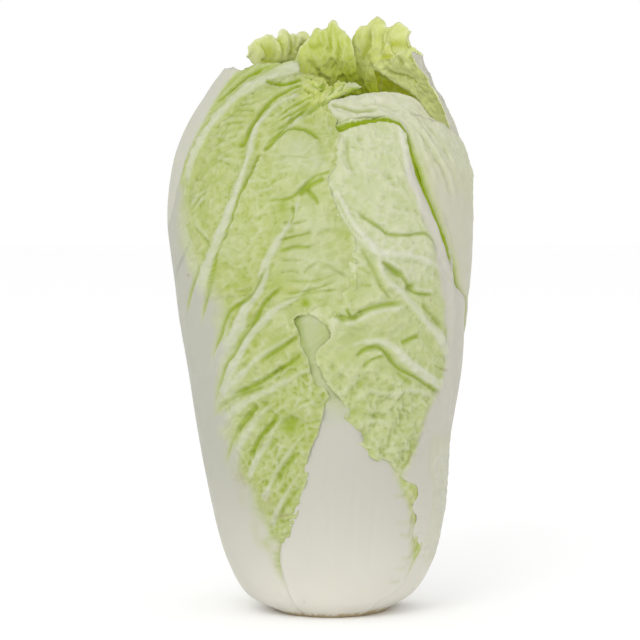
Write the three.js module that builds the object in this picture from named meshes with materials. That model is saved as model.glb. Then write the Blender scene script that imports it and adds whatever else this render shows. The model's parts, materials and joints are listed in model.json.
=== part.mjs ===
// A head of Chinese (napa) cabbage that stands on its cut stem.
//
// The head is a set of leaves wrapped round a short stem. Each leaf is a thick white rib that
// thins out into a broad blade. The leaves are nested: every leaf lies in a shell of its own,
// so that no two touch. The outer leaves close over the front of the head, and three taller
// inner leaves stand up behind them as a crest. The cut across the stem goes through the feet
// of the outer leaves too, and the head stands on it.
//
// Units are millimetres. +Z is up, the front of the head faces -Y, and the origin is the
// centre of the flat cut across the stem.

import * as THREE from "three";

// ---------------------------------------------------------------- driving dimensions

const HEAD_HEIGHT = 300; // cut to the tips of the crest
const HEAD_WIDTH = 152; // left to right, at the belly
const HEAD_DEPTH = 141; // front to back, at the belly
const STEM_RADIUS = 17.5; // of the stem itself, at the cut
const STEM_TOP_RADIUS = 14;
const STEM_HEIGHT = 56;
const STEM_CLEARANCE = 0.6; // stem to the feet of the leaves round it

// Shares of the head: an outer leaf's shell is about 1.4 mm thick at the belly.
const OUTER_SHELL = 0.02;
const OUTER_GAP = 0.013; // from an outer leaf to the next one inwards
const INNER_SHELL = 0.019;
const INNER_GAP = 0.021; // wider, because the inner leaves curve more tightly
const MARGIN_THINNING = 0.45; // how much of its shell a leaf fills at its margin
const FOOT_THICKENING = 0.7; // how much thicker the shells get at the cut
const FOOT_HEIGHT = 60; // where the thickening has died away
const NEST_HEIGHT = 110; // above it the nested shells get lower at the front, as well as narrower
const DEEPEST_DROP = 0.25; // the inset at which they stop getting lower

// ---------------------------------------------------------------- the outside of the head

// Rings round the head from the cut upwards, for a head of the nominal size above.
// z is the ring's height at the sides and back, and zFront its height at the front, which
// closes lower. The other four are its distance from the middle of the head.
const RINGS = [
  { z: 0, zFront: 0, front: 30, right: 30, back: 30, left: 30 },
  { z: 8.5, zFront: 8.5, front: 40.5, right: 43.5, back: 40.5, left: 43 },
  { z: 26, zFront: 26, front: 51, right: 54.5, back: 51, left: 54.5 },
  { z: 46, zFront: 46, front: 57, right: 58.5, back: 56.5, left: 62 },
  { z: 73, zFront: 73, front: 61.5, right: 62, back: 60.5, left: 68 },
  { z: 105, zFront: 105, front: 66.5, right: 65.5, back: 64.5, left: 73.5 },
  { z: 133, zFront: 133, front: 70, right: 68.5, back: 67.5, left: 78 },
  { z: 161, zFront: 161, front: 73, right: 69.5, back: 69.5, left: 82.5 },
  { z: 195, zFront: 193, front: 74, right: 71, back: 71, left: 87.5 },
  { z: 224, zFront: 218, front: 69.5, right: 70.5, back: 69, left: 86 },
  { z: 245.5, zFront: 237, front: 60, right: 63, back: 63, left: 77.5 },
  { z: 264, zFront: 252, front: 46, right: 54, back: 54, left: 64 },
  { z: 277, zFront: 262, front: 31, right: 47, back: 47, left: 53 },
  { z: 287, zFront: 267, front: 20, right: 46, back: 44, left: 52 },
  { z: 293, zFront: 270, front: 12, right: 49, back: 44, left: 54 },
  { z: 299, zFront: 272, front: 6, right: 53, back: 46, left: 57 },
];
const NOMINAL = { height: 300, width: 152, depth: 141 };
const ACROSS = HEAD_WIDTH / NOMINAL.width;
const DEEP = HEAD_DEPTH / NOMINAL.depth;
const HIGH = HEAD_HEIGHT / NOMINAL.height;

const radians = THREE.MathUtils.degToRad;

// A smooth value between evenly spaced ones, where at counts along the list from 0.
function smoothly(values, at) {
  const last = values.length - 1;
  const i = Math.min(Math.floor(at), last - 1);
  const f = at - i;
  const [a, b, c, d] = [i - 1, i, i + 1, i + 2].map((k) => values[THREE.MathUtils.clamp(k, 0, last)]);
  return b + 0.5 * f * (c - a + f * (2 * a - 5 * b + 4 * c - d + f * (3 * (b - c) + d - a)));
}

// A value round the head from its four sides. turn is 0 at the front and 90 on the right.
function round4(front, right, back, left, turn) {
  const t = radians(turn);
  return (
    (front + right + back + left) / 4 +
    ((front - back) / 2) * Math.cos(t) +
    ((right - left) / 2) * Math.sin(t) +
    ((front - right + back - left) / 4) * Math.cos(2 * t)
  );
}

// The point of shell share (1 is the outside of the head) at a turn and a ring.
function onShell(share, turn, ring) {
  const column = (key) => smoothly(RINGS.map((r) => r[key]), ring);
  const r = round4(column("front"), column("right"), column("back"), column("left"), turn);
  const z = round4(column("zFront"), column("z"), column("z"), column("z"), turn);
  const footing = Math.max(0, 1 - z / FOOT_HEIGHT) ** 2;
  const inset = (1 - share) * (1 + FOOT_THICKENING * footing);
  const t = radians(turn);
  const closing = Math.min(1 - share, DEEPEST_DROP) * Math.max(0, Math.cos(t)) ** 2;
  const drop = closing * Math.max(0, z - NEST_HEIGHT);
  return new THREE.Vector3(
    (1 - inset) * r * Math.sin(t) * ACROSS,
    -(1 - inset) * r * Math.cos(t) * DEEP,
    (z - drop) * HIGH,
  );
}

// ---------------------------------------------------------------- one leaf

const stemRadiusAt = (z) => STEM_RADIUS + (STEM_TOP_RADIUS - STEM_RADIUS) * Math.min(1, z / STEM_HEIGHT);

// The lowest ring at which a shell stands clear of the stem.
const RING_STEP = 0.05;
function footRing(share) {
  let ring = 0;
  for (;;) {
    const { y, z } = onShell(share, 0, ring);
    if (-y >= stemRadiusAt(z) + STEM_CLEARANCE) {
      return ring;
    }
    ring += RING_STEP;
  }
}

// A closed leaf. leaf.outline lists [ring, turn of the left margin, turn of the right one] from
// its foot to its tip. leaf.rib says where the thick rib is, from 0 at the left margin to 1.
function leafGeometry(leaf, shellOut, shell) {
  const [across, along] = leaf.grid;
  const foot = footRing(shellOut - shell);
  const outline = leaf.outline.map(([ring, left, right]) => [Math.max(ring, foot), left, right]);
  const at = (k) => [0, 1, 2].map((column) => smoothly(outline.map((o) => o[column]), k * (outline.length - 1)));
  const rib = leaf.rib ?? 0.5;
  const positions = [];
  for (const inside of [false, true]) {
    for (let j = 0; j <= along; j++) {
      const [ring, left, right] = at(j / along);
      for (let i = 0; i <= across; i++) {
        const k = i / across;
        const fromRib = k < rib ? (rib - k) / rib : (k - rib) / (1 - rib);
        const thinning = 1 - (1 - MARGIN_THINNING) * fromRib * Math.min(1, 0.35 + j / along);
        const share = inside ? shellOut - shell * thinning : shellOut;
        positions.push(...onShell(share, left + (right - left) * k, ring).toArray());
      }
    }
  }
  const row = across + 1;
  const layer = row * (along + 1);
  const indices = [];
  const quad = (a, b, c, d) => indices.push(a, b, c, a, c, d);
  for (let j = 0; j < along; j++) {
    for (let i = 0; i < across; i++) {
      const a = j * row + i;
      quad(a, a + 1, a + 1 + row, a + row);
      quad(layer + a + row, layer + a + 1 + row, layer + a + 1, layer + a);
    }
  }
  const wall = (a, b) => quad(b, a, a + layer, b + layer);
  for (let i = 0; i < across; i++) {
    wall(i, i + 1);
    wall(along * row + i + 1, along * row + i);
  }
  for (let j = 0; j < along; j++) {
    wall((j + 1) * row, j * row);
    wall(j * row + across, (j + 1) * row + across);
  }
  const geometry = new THREE.BufferGeometry();
  geometry.setAttribute("position", new THREE.Float32BufferAttribute(positions, 3));
  geometry.setIndex(indices);
  return geometry;
}

// ---------------------------------------------------------------- materials

const finish = (color, roughness) => new THREE.MeshStandardMaterial({ color, roughness, metalness: 0 });
const OUTER_LEAF = finish(0xc9d79a, 0.45);
const CREST_LEAF = finish(0xc5d873, 0.45);
const HEART_LEAF = finish(0xdcdf96, 0.5);
const STEM = finish(0xe9e4d2, 0.6);

// ---------------------------------------------------------------- the leaves

const FINE = [12, 28];
const PLAIN = [10, 20];
const SMALL = [9, 15];

// Outermost first. Each takes the next shell inwards.
const OUTER_LEAVES = [
  {
    name: "right_back_leaf",
    grid: FINE,
    outline: [[0, 112, 189], [3, 108, 194], [5, 104, 210], [7, 100, 226], [9, 94, 234], [11, 88, 226],
      [12, 88, 208], [12.5, 94, 176]],
  },
  {
    name: "right_outer_leaf",
    grid: FINE,
    outline: [[0, 72, 150], [3, 72, 156], [6, 84, 168], [7.2, 68, 174], [8.1, 52, 176], [9.3, 41, 172],
      [10.2, 38, 166], [10.8, 8, 158], [11.6, 8, 136], [12, 26, 104]],
  },
  {
    name: "left_front_leaf",
    grid: FINE,
    rib: 0.3,
    outline: [[0, -132, -38], [1.7, -132, -30], [3, -134, -20], [4.6, -136, -6], [5.8, -130, -4], [7.2, -118, 9],
      [8.6, -90, 9], [10.2, -68, 5], [11.4, -62, 0], [12.2, -56, -14], [13, -46, -26]],
  },
  {
    name: "right_front_leaf",
    grid: FINE,
    rib: 0.7,
    outline: [[0, 42, 128], [1.6, 50, 128], [3, 50, 130], [3.9, 40, 130], [4.6, 12, 130], [5.6, -4, 126],
      [7, -12, 112], [8.6, -24, 92], [10.2, -16, 74], [11.3, 2, 56], [11.8, 8, 44]],
  },
  {
    name: "left_back_leaf",
    grid: FINE,
    outline: [[0, -168, -96], [3, -164, -96], [5, -178, -88], [7, -194, -78], [9, -202, -64], [11, -196, -56],
      [12.4, -172, -52], [13, -140, -58]],
  },
  {
    name: "centre_front_leaf",
    grid: FINE,
    outline: [[0, -52, 56], [3, -54, 62], [6, -66, 80], [9, -70, 84], [11, -54, 70], [12.6, -34, 44]],
  },
  {
    name: "back_leaf",
    grid: PLAIN,
    outline: [[0, 150, 234], [3, 142, 242], [6, 122, 262], [9, 114, 270], [11, 128, 256], [12.8, 152, 226]],
  },
];

const CREST_LEAVES = [
  {
    name: "right_crest_leaf",
    grid: PLAIN,
    outline: [[0, 84, 172], [3, 76, 180], [6, 62, 194], [9, 58, 194], [12, 68, 180], [13.8, 74, 164], [14.4, 84, 150]],
  },
  {
    name: "left_crest_leaf",
    grid: PLAIN,
    outline: [[0, -160, -72], [3, -168, -64], [6, -182, -50], [9, -184, -50], [12, -168, -60], [13.8, -158, -70],
      [14.5, -140, -84]],
  },
  {
    name: "middle_crest_leaf",
    grid: PLAIN,
    outline: [[0, 134, 226], [3, 126, 234], [6, 114, 246], [9, 116, 244], [12, 134, 226], [14.3, 142, 218],
      [15, 158, 202]],
  },
];

const HEART_LEAF_COUNT = 7;
const GOLDEN_TURN = 137.5; // from each leaf of a spiral to the next
const HEART_LEAVES = Array.from({ length: HEART_LEAF_COUNT }, (_, i) => {
  const turn = 20 + GOLDEN_TURN * i;
  const halfWidths = [[0, 60], [3, 64], [6, 76], [9, 84], [10.2, 70], [11.2, 40]];
  return {
    name: `heart_leaf_${i + 1}`,
    grid: SMALL,
    outline: halfWidths.map(([ring, half]) => [ring, turn - half, turn + half]),
  };
});

const head = new THREE.Group();
head.name = "cabbage";

let shellOut = 1;
function addLeaves(leaves, shell, gap, material) {
  for (const leaf of leaves) {
    const mesh = new THREE.Mesh(leafGeometry(leaf, shellOut, shell), material);
    mesh.name = leaf.name;
    head.add(mesh);
    shellOut -= shell + gap;
  }
}
addLeaves(OUTER_LEAVES, OUTER_SHELL, OUTER_GAP, OUTER_LEAF);
addLeaves(CREST_LEAVES, INNER_SHELL, INNER_GAP, CREST_LEAF);
addLeaves(HEART_LEAVES, INNER_SHELL, INNER_GAP, HEART_LEAF);

// ---------------------------------------------------------------- the heart bud

// The folded centre of the head: a closed bud, round in section, that sits above the stem and
// fills the space inside the innermost leaf.
const BUD_STATIONS = 12;
const BUD_SIDES = 20;
const BUD_REST = 1.5; // stem to bud
const BUD_FILL = 0.9; // of the space inside the innermost leaf
const BUD_TIP_RING = 11;
function budGeometry(share) {
  const foot = STEM_HEIGHT + BUD_REST;
  const top = onShell(share, 0, BUD_TIP_RING).z;
  const profile = [new THREE.Vector2(0, foot)];
  for (let i = 1; i < BUD_STATIONS; i++) {
    const k = i / BUD_STATIONS;
    const { y, z } = onShell(share, 0, 3.5 + (BUD_TIP_RING - 3.5) * k);
    const rounding = Math.sin(Math.PI * k) ** 0.4;
    profile.push(new THREE.Vector2(-y * BUD_FILL * rounding, Math.max(z, foot + 1 + k)));
  }
  profile.push(new THREE.Vector2(0, top));
  return new THREE.LatheGeometry(profile, BUD_SIDES).rotateX(Math.PI / 2);
}
const bud = new THREE.Mesh(budGeometry(shellOut), HEART_LEAF);
bud.name = "heart_bud";
head.add(bud);

// ---------------------------------------------------------------- the stem

// The core that the feet of the leaves surround, cut flat across at the bottom.
const STEM_SIDES = 32;
const STEM_DOME = 12; // height of the rounded top
const stemProfile = [
  new THREE.Vector2(0, 0),
  new THREE.Vector2(STEM_RADIUS, 0),
  new THREE.Vector2(stemRadiusAt(STEM_HEIGHT - STEM_DOME), STEM_HEIGHT - STEM_DOME),
  new THREE.Vector2(STEM_TOP_RADIUS * 0.75, STEM_HEIGHT - STEM_DOME * 0.4),
  new THREE.Vector2(0, STEM_HEIGHT),
];
const stem = new THREE.Mesh(new THREE.LatheGeometry(stemProfile, STEM_SIDES).rotateX(Math.PI / 2), STEM);
stem.name = "cut_stem";
head.add(stem);

export default head;
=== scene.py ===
# %% [markdown]
# # A head of Chinese cabbage
#
# The real thing is some forty leaves packed round a short stem, and only about ten of them
# show. Each of those is a closed mesh of its own here: a sheet that follows the head's
# outline, trimmed to the leaf's margins, then pushed out and in for its ribs, folds and
# blisters. Sculpting by hand or a cloth simulation could do it too, but a sheet and a relief
# keep every leaf exactly where the frame has it, and give the same leaf each time.

# %% Load the frame
import json
import math

import bpy
import numpy as np
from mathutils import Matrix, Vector

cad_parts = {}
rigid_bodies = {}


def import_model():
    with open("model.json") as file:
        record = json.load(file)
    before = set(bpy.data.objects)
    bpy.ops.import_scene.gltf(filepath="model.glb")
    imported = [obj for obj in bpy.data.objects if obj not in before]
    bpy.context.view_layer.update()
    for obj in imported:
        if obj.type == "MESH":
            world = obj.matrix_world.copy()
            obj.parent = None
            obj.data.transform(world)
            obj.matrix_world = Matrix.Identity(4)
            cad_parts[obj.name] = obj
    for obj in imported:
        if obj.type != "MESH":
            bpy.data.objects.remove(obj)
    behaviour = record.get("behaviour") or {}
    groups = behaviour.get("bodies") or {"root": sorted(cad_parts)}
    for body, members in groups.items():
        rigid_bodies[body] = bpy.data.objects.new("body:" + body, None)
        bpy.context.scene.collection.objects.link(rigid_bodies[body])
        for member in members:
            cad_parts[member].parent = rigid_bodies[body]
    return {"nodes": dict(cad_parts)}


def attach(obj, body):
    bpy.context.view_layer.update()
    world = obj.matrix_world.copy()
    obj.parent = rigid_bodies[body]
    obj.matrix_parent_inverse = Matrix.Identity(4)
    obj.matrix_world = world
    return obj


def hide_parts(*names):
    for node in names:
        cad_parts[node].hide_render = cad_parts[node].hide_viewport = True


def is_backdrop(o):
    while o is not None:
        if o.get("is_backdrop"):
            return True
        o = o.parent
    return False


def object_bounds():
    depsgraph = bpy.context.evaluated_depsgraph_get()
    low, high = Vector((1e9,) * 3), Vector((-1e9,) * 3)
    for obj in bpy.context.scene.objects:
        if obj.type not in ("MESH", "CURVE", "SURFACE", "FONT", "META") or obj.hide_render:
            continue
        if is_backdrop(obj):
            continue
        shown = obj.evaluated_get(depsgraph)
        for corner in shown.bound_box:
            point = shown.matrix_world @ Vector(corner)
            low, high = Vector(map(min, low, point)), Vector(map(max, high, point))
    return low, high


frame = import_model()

CAD_BOX = [list(corner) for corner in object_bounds()]
HEAD_HEIGHT = CAD_BOX[1][2] - CAD_BOX[0][2]
MM = HEAD_HEIGHT / 300  # metres for a millimetre of a head 300 mm tall
CELL = 0.9  # mm between neighbouring points of a leaf's outer side
print("the head is", round(HEAD_HEIGHT * 1000, 1), "mm tall, in", len(frame["nodes"]), "pieces")

# %% [markdown]
# ## The outline of the whole head
#
# A cabbage bulges by different amounts left and right, and its front closes lower than its
# back. A lathe can't do that, so the outline is a stack of rings with four radii each.
# Smooth curves join them: a Catmull-Rom spline up the head, and three cosines round it.

# %% The head's rings
# In mm: height at the sides and back, height at the front, and the distance from the middle
# to the front, right, back and left.
RINGS = np.array([
    [0, 0, 30, 31, 30, 28],
    [8.5, 8.5, 41, 44.5, 41, 43],
    [26, 26, 50, 54.2, 50, 52],
    [46, 46, 55, 57.5, 55, 58.3],
    [73, 73, 59.5, 60.5, 59.5, 64.2],
    [105, 105, 63.5, 65, 64, 69.8],
    [133, 133, 66.5, 68, 67, 73.4],
    [161, 161, 69, 70.2, 69.5, 77.4],
    [195, 193, 70, 71.7, 71, 82.6],
    [224, 218, 66, 71.2, 69, 79.9],
    [245.5, 237, 57, 63.4, 63, 72.8],
    [264, 252, 44, 54, 54, 61.4],
    [277, 262, 30, 47, 47, 51.2],
    [287, 267, 18, 46, 44, 51],
    [293, 270, 12, 49, 44, 54],
    [299, 272, 6, 53, 46, 57],
])
TOP = len(RINGS) - 1  # the highest level
BELLY = 66  # mm, the radius at which turns are unrolled to a flat width


def at_level(column, level):
    """A smooth value between the rings. Level 0 is the lowest ring."""
    level = np.clip(level, 0, TOP)
    i = np.minimum(level.astype(int), TOP - 1)
    f = level - i
    a, b, c, d = (column[np.clip(i + k, 0, TOP)] for k in (-1, 0, 1, 2))
    bow = 2 * a - 5 * b + 4 * c - d + f * (3 * (b - c) + d - a)
    return b + 0.5 * f * (c - a + f * bow)


def on_head(turn, level):
    """Points of the head's surface, in mm. Turn 0 is the front and turn 90 is the right."""
    turn, level = np.broadcast_arrays(np.asarray(turn, float), np.asarray(level, float))
    side_z, front_z, front, right, back, left = (at_level(c, level) for c in RINGS.T)
    t = np.radians(turn)
    r = (front + right + back + left) / 4 + (front - back) / 2 * np.cos(t)
    r = r + (right - left) / 2 * np.sin(t) + (front - right + back - left) / 4 * np.cos(2 * t)
    z = side_z + (front_z - side_z) * np.clip(np.cos(t), 0, 1) ** 2
    return np.stack([r * np.sin(t), -r * np.cos(t), z], -1)


def outward(turn, level):
    """The surface's unit normals, turned level at the foot so that the cut stays flat."""
    across = on_head(turn + 0.5, level) - on_head(turn - 0.5, level)
    upward = on_head(turn, np.minimum(level + 0.03, TOP)) - on_head(turn, np.maximum(level - 0.03, 0))
    n = np.cross(across, upward)
    n[..., 2] *= np.clip(level, 0, 1)
    return n / np.linalg.norm(n, axis=-1, keepdims=True)


LEVELS = np.linspace(0, TOP, 1501)
RUN_UP = np.linalg.norm(np.diff(on_head(90, LEVELS), axis=0), axis=1)
LIFT = np.concatenate([[0], np.cumsum(RUN_UP)])  # mm from the cut, measured up the right side


def flat(turn, level):
    """Millimetres round and up the head, as if it were unrolled."""
    return np.radians(turn) * BELLY, np.interp(level, LEVELS, LIFT)


print("from the cut to the crest, over the right side:", round(LIFT[-1]), "mm")

# %% [markdown]
# ## Drawing on the front
#
# Veins and folds are easiest to place as the eye sees them: so many millimetres right of the
# middle, and so many up. `seen` turns such a pair into a place on the curved head, so that a
# line drawn flat lies on the surface. The eye is far off and a little above the belly.
# `behind` does the same for the wall at the back of the crest, seen over the front leaves.

# %% Where a point is seen
EYE_DISTANCE = 1600  # mm
EYE_RISE = math.radians(4)
EYE_AIM = np.array([-5, 0, 147])
EYE_LOOK = np.array([0, math.cos(EYE_RISE), -math.sin(EYE_RISE)])
EYE_UP = np.array([0, math.sin(EYE_RISE), math.cos(EYE_RISE)])
DRAWN_SIZE = 1.0114  # seen mm in each mm of the drawing
DRAWN_BASE = -3.6  # mm, where the drawing's height 0 is seen: the front edge of the cut


def drawing(points):
    """Millimetres right and up, as the eye sees the points."""
    p = points - EYE_AIM
    near = EYE_DISTANCE / (EYE_DISTANCE + p @ EYE_LOOK)
    right = (p[..., 0] * near + EYE_AIM[0]) / DRAWN_SIZE
    up = ((p @ EYE_UP) * near + EYE_AIM[2] - DRAWN_BASE) / DRAWN_SIZE
    return np.stack([right, up], -1)


def looked_at(first_turn, last_turn, first_level, shape=on_head):
    """A close grid of places on one side of the head, and where the eye sees each."""
    turn_steps = np.arange(first_turn, last_turn, 0.5)
    turns, levels = np.meshgrid(turn_steps, np.arange(first_level, TOP, 0.04))
    return turns, levels, drawing(shape(turns, levels))


FRONT = looked_at(-100, 100.5, 0)
BACK = looked_at(100, 260.5, 9)  # its lower part is hidden by the front


def seen(x, z, wall=FRONT):
    """The (turn, level) of the point seen x mm right of the middle and z mm up."""
    turns, levels, drawn = wall
    miss = (drawn[..., 0] - x) ** 2 + (drawn[..., 1] - z) ** 2
    k = np.unravel_index(np.argmin(miss), miss.shape)
    return turns[k], levels[k]


def line(*pairs):
    """Places on the front, for a line drawn through (x, z) pairs."""
    return np.array([seen(x, z) for x, z in pairs])


def behind(*pairs, wall=BACK):
    """The same on the wall at the back."""
    return np.array([seen(x, z, wall) for x, z in pairs])


print("the middle of the belly is at turn and level", [round(float(k), 1) for k in seen(0, 150)])

# %% [markdown]
# ## Smooth lines
#
# A margin or a vein is given by a few points. A curve that slows down for close points passes
# through them without overshooting, and `evenly` then spaces its points along its length.

# %% Curves on the head
def length_along(curve):
    """Millimetres from a curve's start to each of its points."""
    steps = np.linalg.norm(np.diff(on_head(curve[:, 0], curve[:, 1]), axis=0), axis=1)
    return np.concatenate([[0], np.cumsum(np.maximum(steps, 1e-6))])


def evenly(curve, step=None, count=None):
    """The same curve with points a step apart, or with a given count of them."""
    run = length_along(curve)
    want = np.linspace(0, run[-1], count or max(3, int(run[-1] / step) + 1))
    return np.stack([np.interp(want, run, curve[:, k]) for k in (0, 1)], 1)


def smooth(points, step=1.0):
    """A smooth curve through [turn, level] points, with points a step apart in mm."""
    p = np.asarray(points, float)
    if len(p) == 2:
        p = np.array([p[0], (p[0] + p[1]) / 2, p[1]])
    t = np.concatenate([[0], np.cumsum(np.sqrt(np.diff(length_along(p))))])
    slope = np.gradient(p, t, axis=0)
    fine = np.linspace(0, t[-1], 14 * len(p))
    i = np.clip(np.searchsorted(t, fine, "right") - 1, 0, len(t) - 2)
    h = (t[i + 1] - t[i])[:, None]
    f = (fine - t[i])[:, None] / h
    curve = (1 + 2 * f) * (1 - f) ** 2 * p[i] + f * (1 - f) ** 2 * h * slope[i]
    curve += f * f * (3 - 2 * f) * p[i + 1] + f * f * (f - 1) * h * slope[i + 1]
    return evenly(curve, step=step)


def spread(value, t):
    """One number, or several spaced along a line, read at t from 0 to 1."""
    value = np.atleast_1d(np.asarray(value, float))
    return np.interp(t, np.linspace(0, 1, len(value)), value)


print("up the middle of the front:", round(length_along(line((0, 20), (0, 150), (0, 250)))[-1]), "mm")

# %% [markdown]
# ## Chance, kept in hand
#
# No two blisters match, yet the script has to grow the same leaf every time. So the noise is
# arithmetic on a point's place and a seed, and nothing is drawn from a random generator. The
# long numbers in `chance` mean nothing: they only stir the bits.

# %% Noise
def smoothstep(low, high, x):
    """0 up to low, 1 from high on, and a smooth rise between them."""
    f = np.clip((x - low) / (high - low), 0, 1)
    return f * f * (3 - 2 * f)


def chance(i, j, seed):
    """A fixed number from 0 to 1 for each whole-numbered place."""
    n = (i.astype(np.int64) * 374761393 + j.astype(np.int64) * 668265263 + seed * 974634777) & 0xFFFFFFFF
    n = ((n ^ (n >> 13)) * 1274126177) & 0xFFFFFFFF
    n = ((n ^ (n >> 16)) * 2246822519) & 0xFFFFFFFF
    return ((n ^ (n >> 15)) & 0xFFFFFF) / 0xFFFFFF


def noise(x, y, seed):
    """Smooth noise from -1 to 1 with bumps about 1 across."""
    i, j = np.floor(x), np.floor(y)
    f, g = smoothstep(0, 1, x - i), smoothstep(0, 1, y - j)
    a, b = chance(i, j, seed), chance(i + 1, j, seed)
    c, d = chance(i, j + 1, seed), chance(i + 1, j + 1, seed)
    return 2 * (a + (b - a) * f + (c - a) * g + (a - b - c + d) * f * g) - 1


def blurred(grid, radius):
    """The grid averaged over about radius points each way."""
    half = max(1, int(round(radius * 0.7)))
    for axis in (0, 1, 0, 1):
        edge = [(half + 1, half) if k == axis else (0, 0) for k in (0, 1)]
        total = np.cumsum(np.pad(grid, edge, mode="edge"), axis)
        n = grid.shape[axis]
        window = 2 * half + 1
        grid = (total.take(range(window, window + n), axis) - total.take(range(n), axis)) / window
    return grid


print("noise at three places:", np.round(noise(np.array([0.2, 1.4, 2.6]), np.full(3, 0.5), 1), 2))

# %% [markdown]
# ## The skin of a leaf
#
# A leaf starts as the patch of the head between four edges: two side margins, a foot and a
# tip. Blending them like that is a Coons patch, the way a boat builder planks a hull between
# its edges. The skin also holds the relief in mm and the colour masks from 0 to 1, which the
# strokes further down draw into. A tip that is folded over needs a strong grip: the sheet
# then follows the tip's line only in its last rows, and lies smooth below. A leaf that is
# mostly covered has close rows only above the height `fine_above`.

# %% A patch between margins
COARSE = 3  # every third point of a leaf's outer side has one on its inner side
GRID_RADIUS = 72  # mm, the radius at which a leaf's columns stand a cell apart
EDGE_STEPS = 1000  # how finely a margin is read
LOW_SHARE = 0.4  # how close the rows are below fine_above, where 1 is an even grid
CREST_RING = 8  # mm, about, from ring to ring at the crest
SQUEEZED = 7  # mm under a lobed rim over which the rows are squeezed
BITE_RING = 12  # mm, about, from ring to ring where tips are frayed


def row_shares(fine_above):
    """Heights from 0 to 1, and how close a leaf's rows are at each."""
    height = np.linspace(0, 1, EDGE_STEPS + 1)
    if not fine_above:
        return height, height * 0 + 1
    return height, LOW_SHARE + smoothstep(fine_above - 0.1, fine_above + 0.1, height)


class Skin:
    """A leaf's grid of places on the head, with its relief and colour masks."""

    def __init__(self, left, right, tip=(), seed=1, cell=CELL, ragged=(0.6, 0.6, 0.6), fine_above=0,
                 rim=None, grip=1):
        left, right = smooth(left), smooth(right)
        foot = smooth([left[0], right[0]])
        tip = smooth([left[-1], *tip, right[-1]])
        girth = [abs(left[int(k * len(left)), 0] - right[int(k * len(right)), 0]) for k in (0.2, 0.5, 0.8)]
        height, share = row_shares(fine_above)
        rows = int(max(len(left), len(right)) * share.mean() / cell) // COARSE * COARSE
        columns = int(math.radians(max(girth)) * GRID_RADIUS / cell) // COARSE * COARSE
        rise = np.concatenate([[0], np.cumsum(share[1:])])
        v = np.interp(np.linspace(0, 1, rows + 1), rise / rise[-1], height)[:, None, None]
        picked = np.round(v[:, 0, 0] * EDGE_STEPS).astype(int)
        left, right = (evenly(edge, count=EDGE_STEPS + 1)[picked][:, None] for edge in (left, right))
        foot, tip = (evenly(edge, count=columns + 1)[None] for edge in (foot, tip))
        u = np.linspace(0, 1, columns + 1)[None, :, None]
        foot_bow = foot - (1 - u) * left[:1] - u * right[:1]
        tip_bow = tip - (1 - u) * left[-1:] - u * right[-1:]
        patch = (1 - u) * left + u * right + (1 - v) * foot_bow + v ** grip * tip_bow
        self.u, self.v = np.broadcast_arrays(u[..., 0], v[..., 0])
        self.turn, self.level = patch[..., 0], np.clip(patch[..., 1], 0, TOP)
        self.seed, self.cell = seed, cell
        if rim is not None:
            self.lobe(rim)
        self.fray(ragged)
        self.place()

    def lobe(self, rim):
        """Draws the tip in to a rim of (turn, level) points. What lies under it is squeezed."""
        rim = rim[np.argsort(rim[:, 0])]
        tip_turn, tip_level = self.turn[-1], self.level[-1]
        first, last = rim[0, 0], rim[-1, 0]
        within = smoothstep(first - 3, first, tip_turn) * smoothstep(-last - 3, -last, -tip_turn)
        change = (np.interp(tip_turn, rim[:, 0], rim[:, 1]) - tip_level) * within
        below = (tip_level - self.level) * CREST_RING
        self.level = self.level + change * np.exp(-np.maximum(below, 0) / SQUEEZED)

    def fray(self, ragged):
        """Bites out of the left, right and tip margins, in mm."""
        a, b = flat(self.turn, self.level)
        bite = 0.6 * noise(b / 6, a / 6, self.seed) + 0.4 * noise(b / 2.4, a / 2.4, self.seed + 1)
        left = np.exp(-self.u * 16) * ragged[0] * smoothstep(0.03, 0.12, self.v)
        right = np.exp(-(1 - self.u) * 16) * ragged[1] * smoothstep(0.03, 0.12, self.v)
        tip = np.exp(-(1 - self.v) * 20) * ragged[2]
        self.turn = self.turn + np.degrees(bite * (left + right) / BELLY)
        self.level = np.clip(self.level + bite * tip / BITE_RING, 0, TOP)

    def place(self):
        """Sets the points, their normals and the distances to the margins."""
        self.base = on_head(self.turn, self.level)
        self.normal = outward(self.turn, self.level)
        self.a, self.b = flat(self.turn, self.level)
        across = np.linalg.norm(np.diff(self.base, axis=1), axis=2)
        upward = np.linalg.norm(np.diff(self.base, axis=0), axis=2)
        self.from_left = np.pad(np.cumsum(across, 1), ((0, 0), (1, 0)))
        self.from_right = self.from_left[:, -1:] - self.from_left
        height = np.pad(np.cumsum(upward, 0), ((1, 0), (0, 0)))
        self.from_tip = height[-1:] - height
        self.from_margin = np.minimum(np.minimum(self.from_left, self.from_right), self.from_tip)
        self.relief = np.zeros(self.turn.shape)
        self.vein, self.crease, self.white = (np.zeros(self.turn.shape) for _ in range(3))
        self.glow, self.stain = (np.zeros(self.turn.shape) for _ in range(2))

    def shade(self, mask, where, amount):
        """Raises a colour mask, which never falls."""
        mask[where] = np.maximum(mask[where], amount)

    def tell(self, name):
        """Prints how far the drawing of a leaf has come."""
        low, high = self.relief.min(), self.relief.max()
        print(f"{name}: {self.turn.size} points, relief {low:.1f} to {high:.1f} mm")


WHOLE_LEAF = 1000  # mm, a reach that no leaf exceeds


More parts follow.
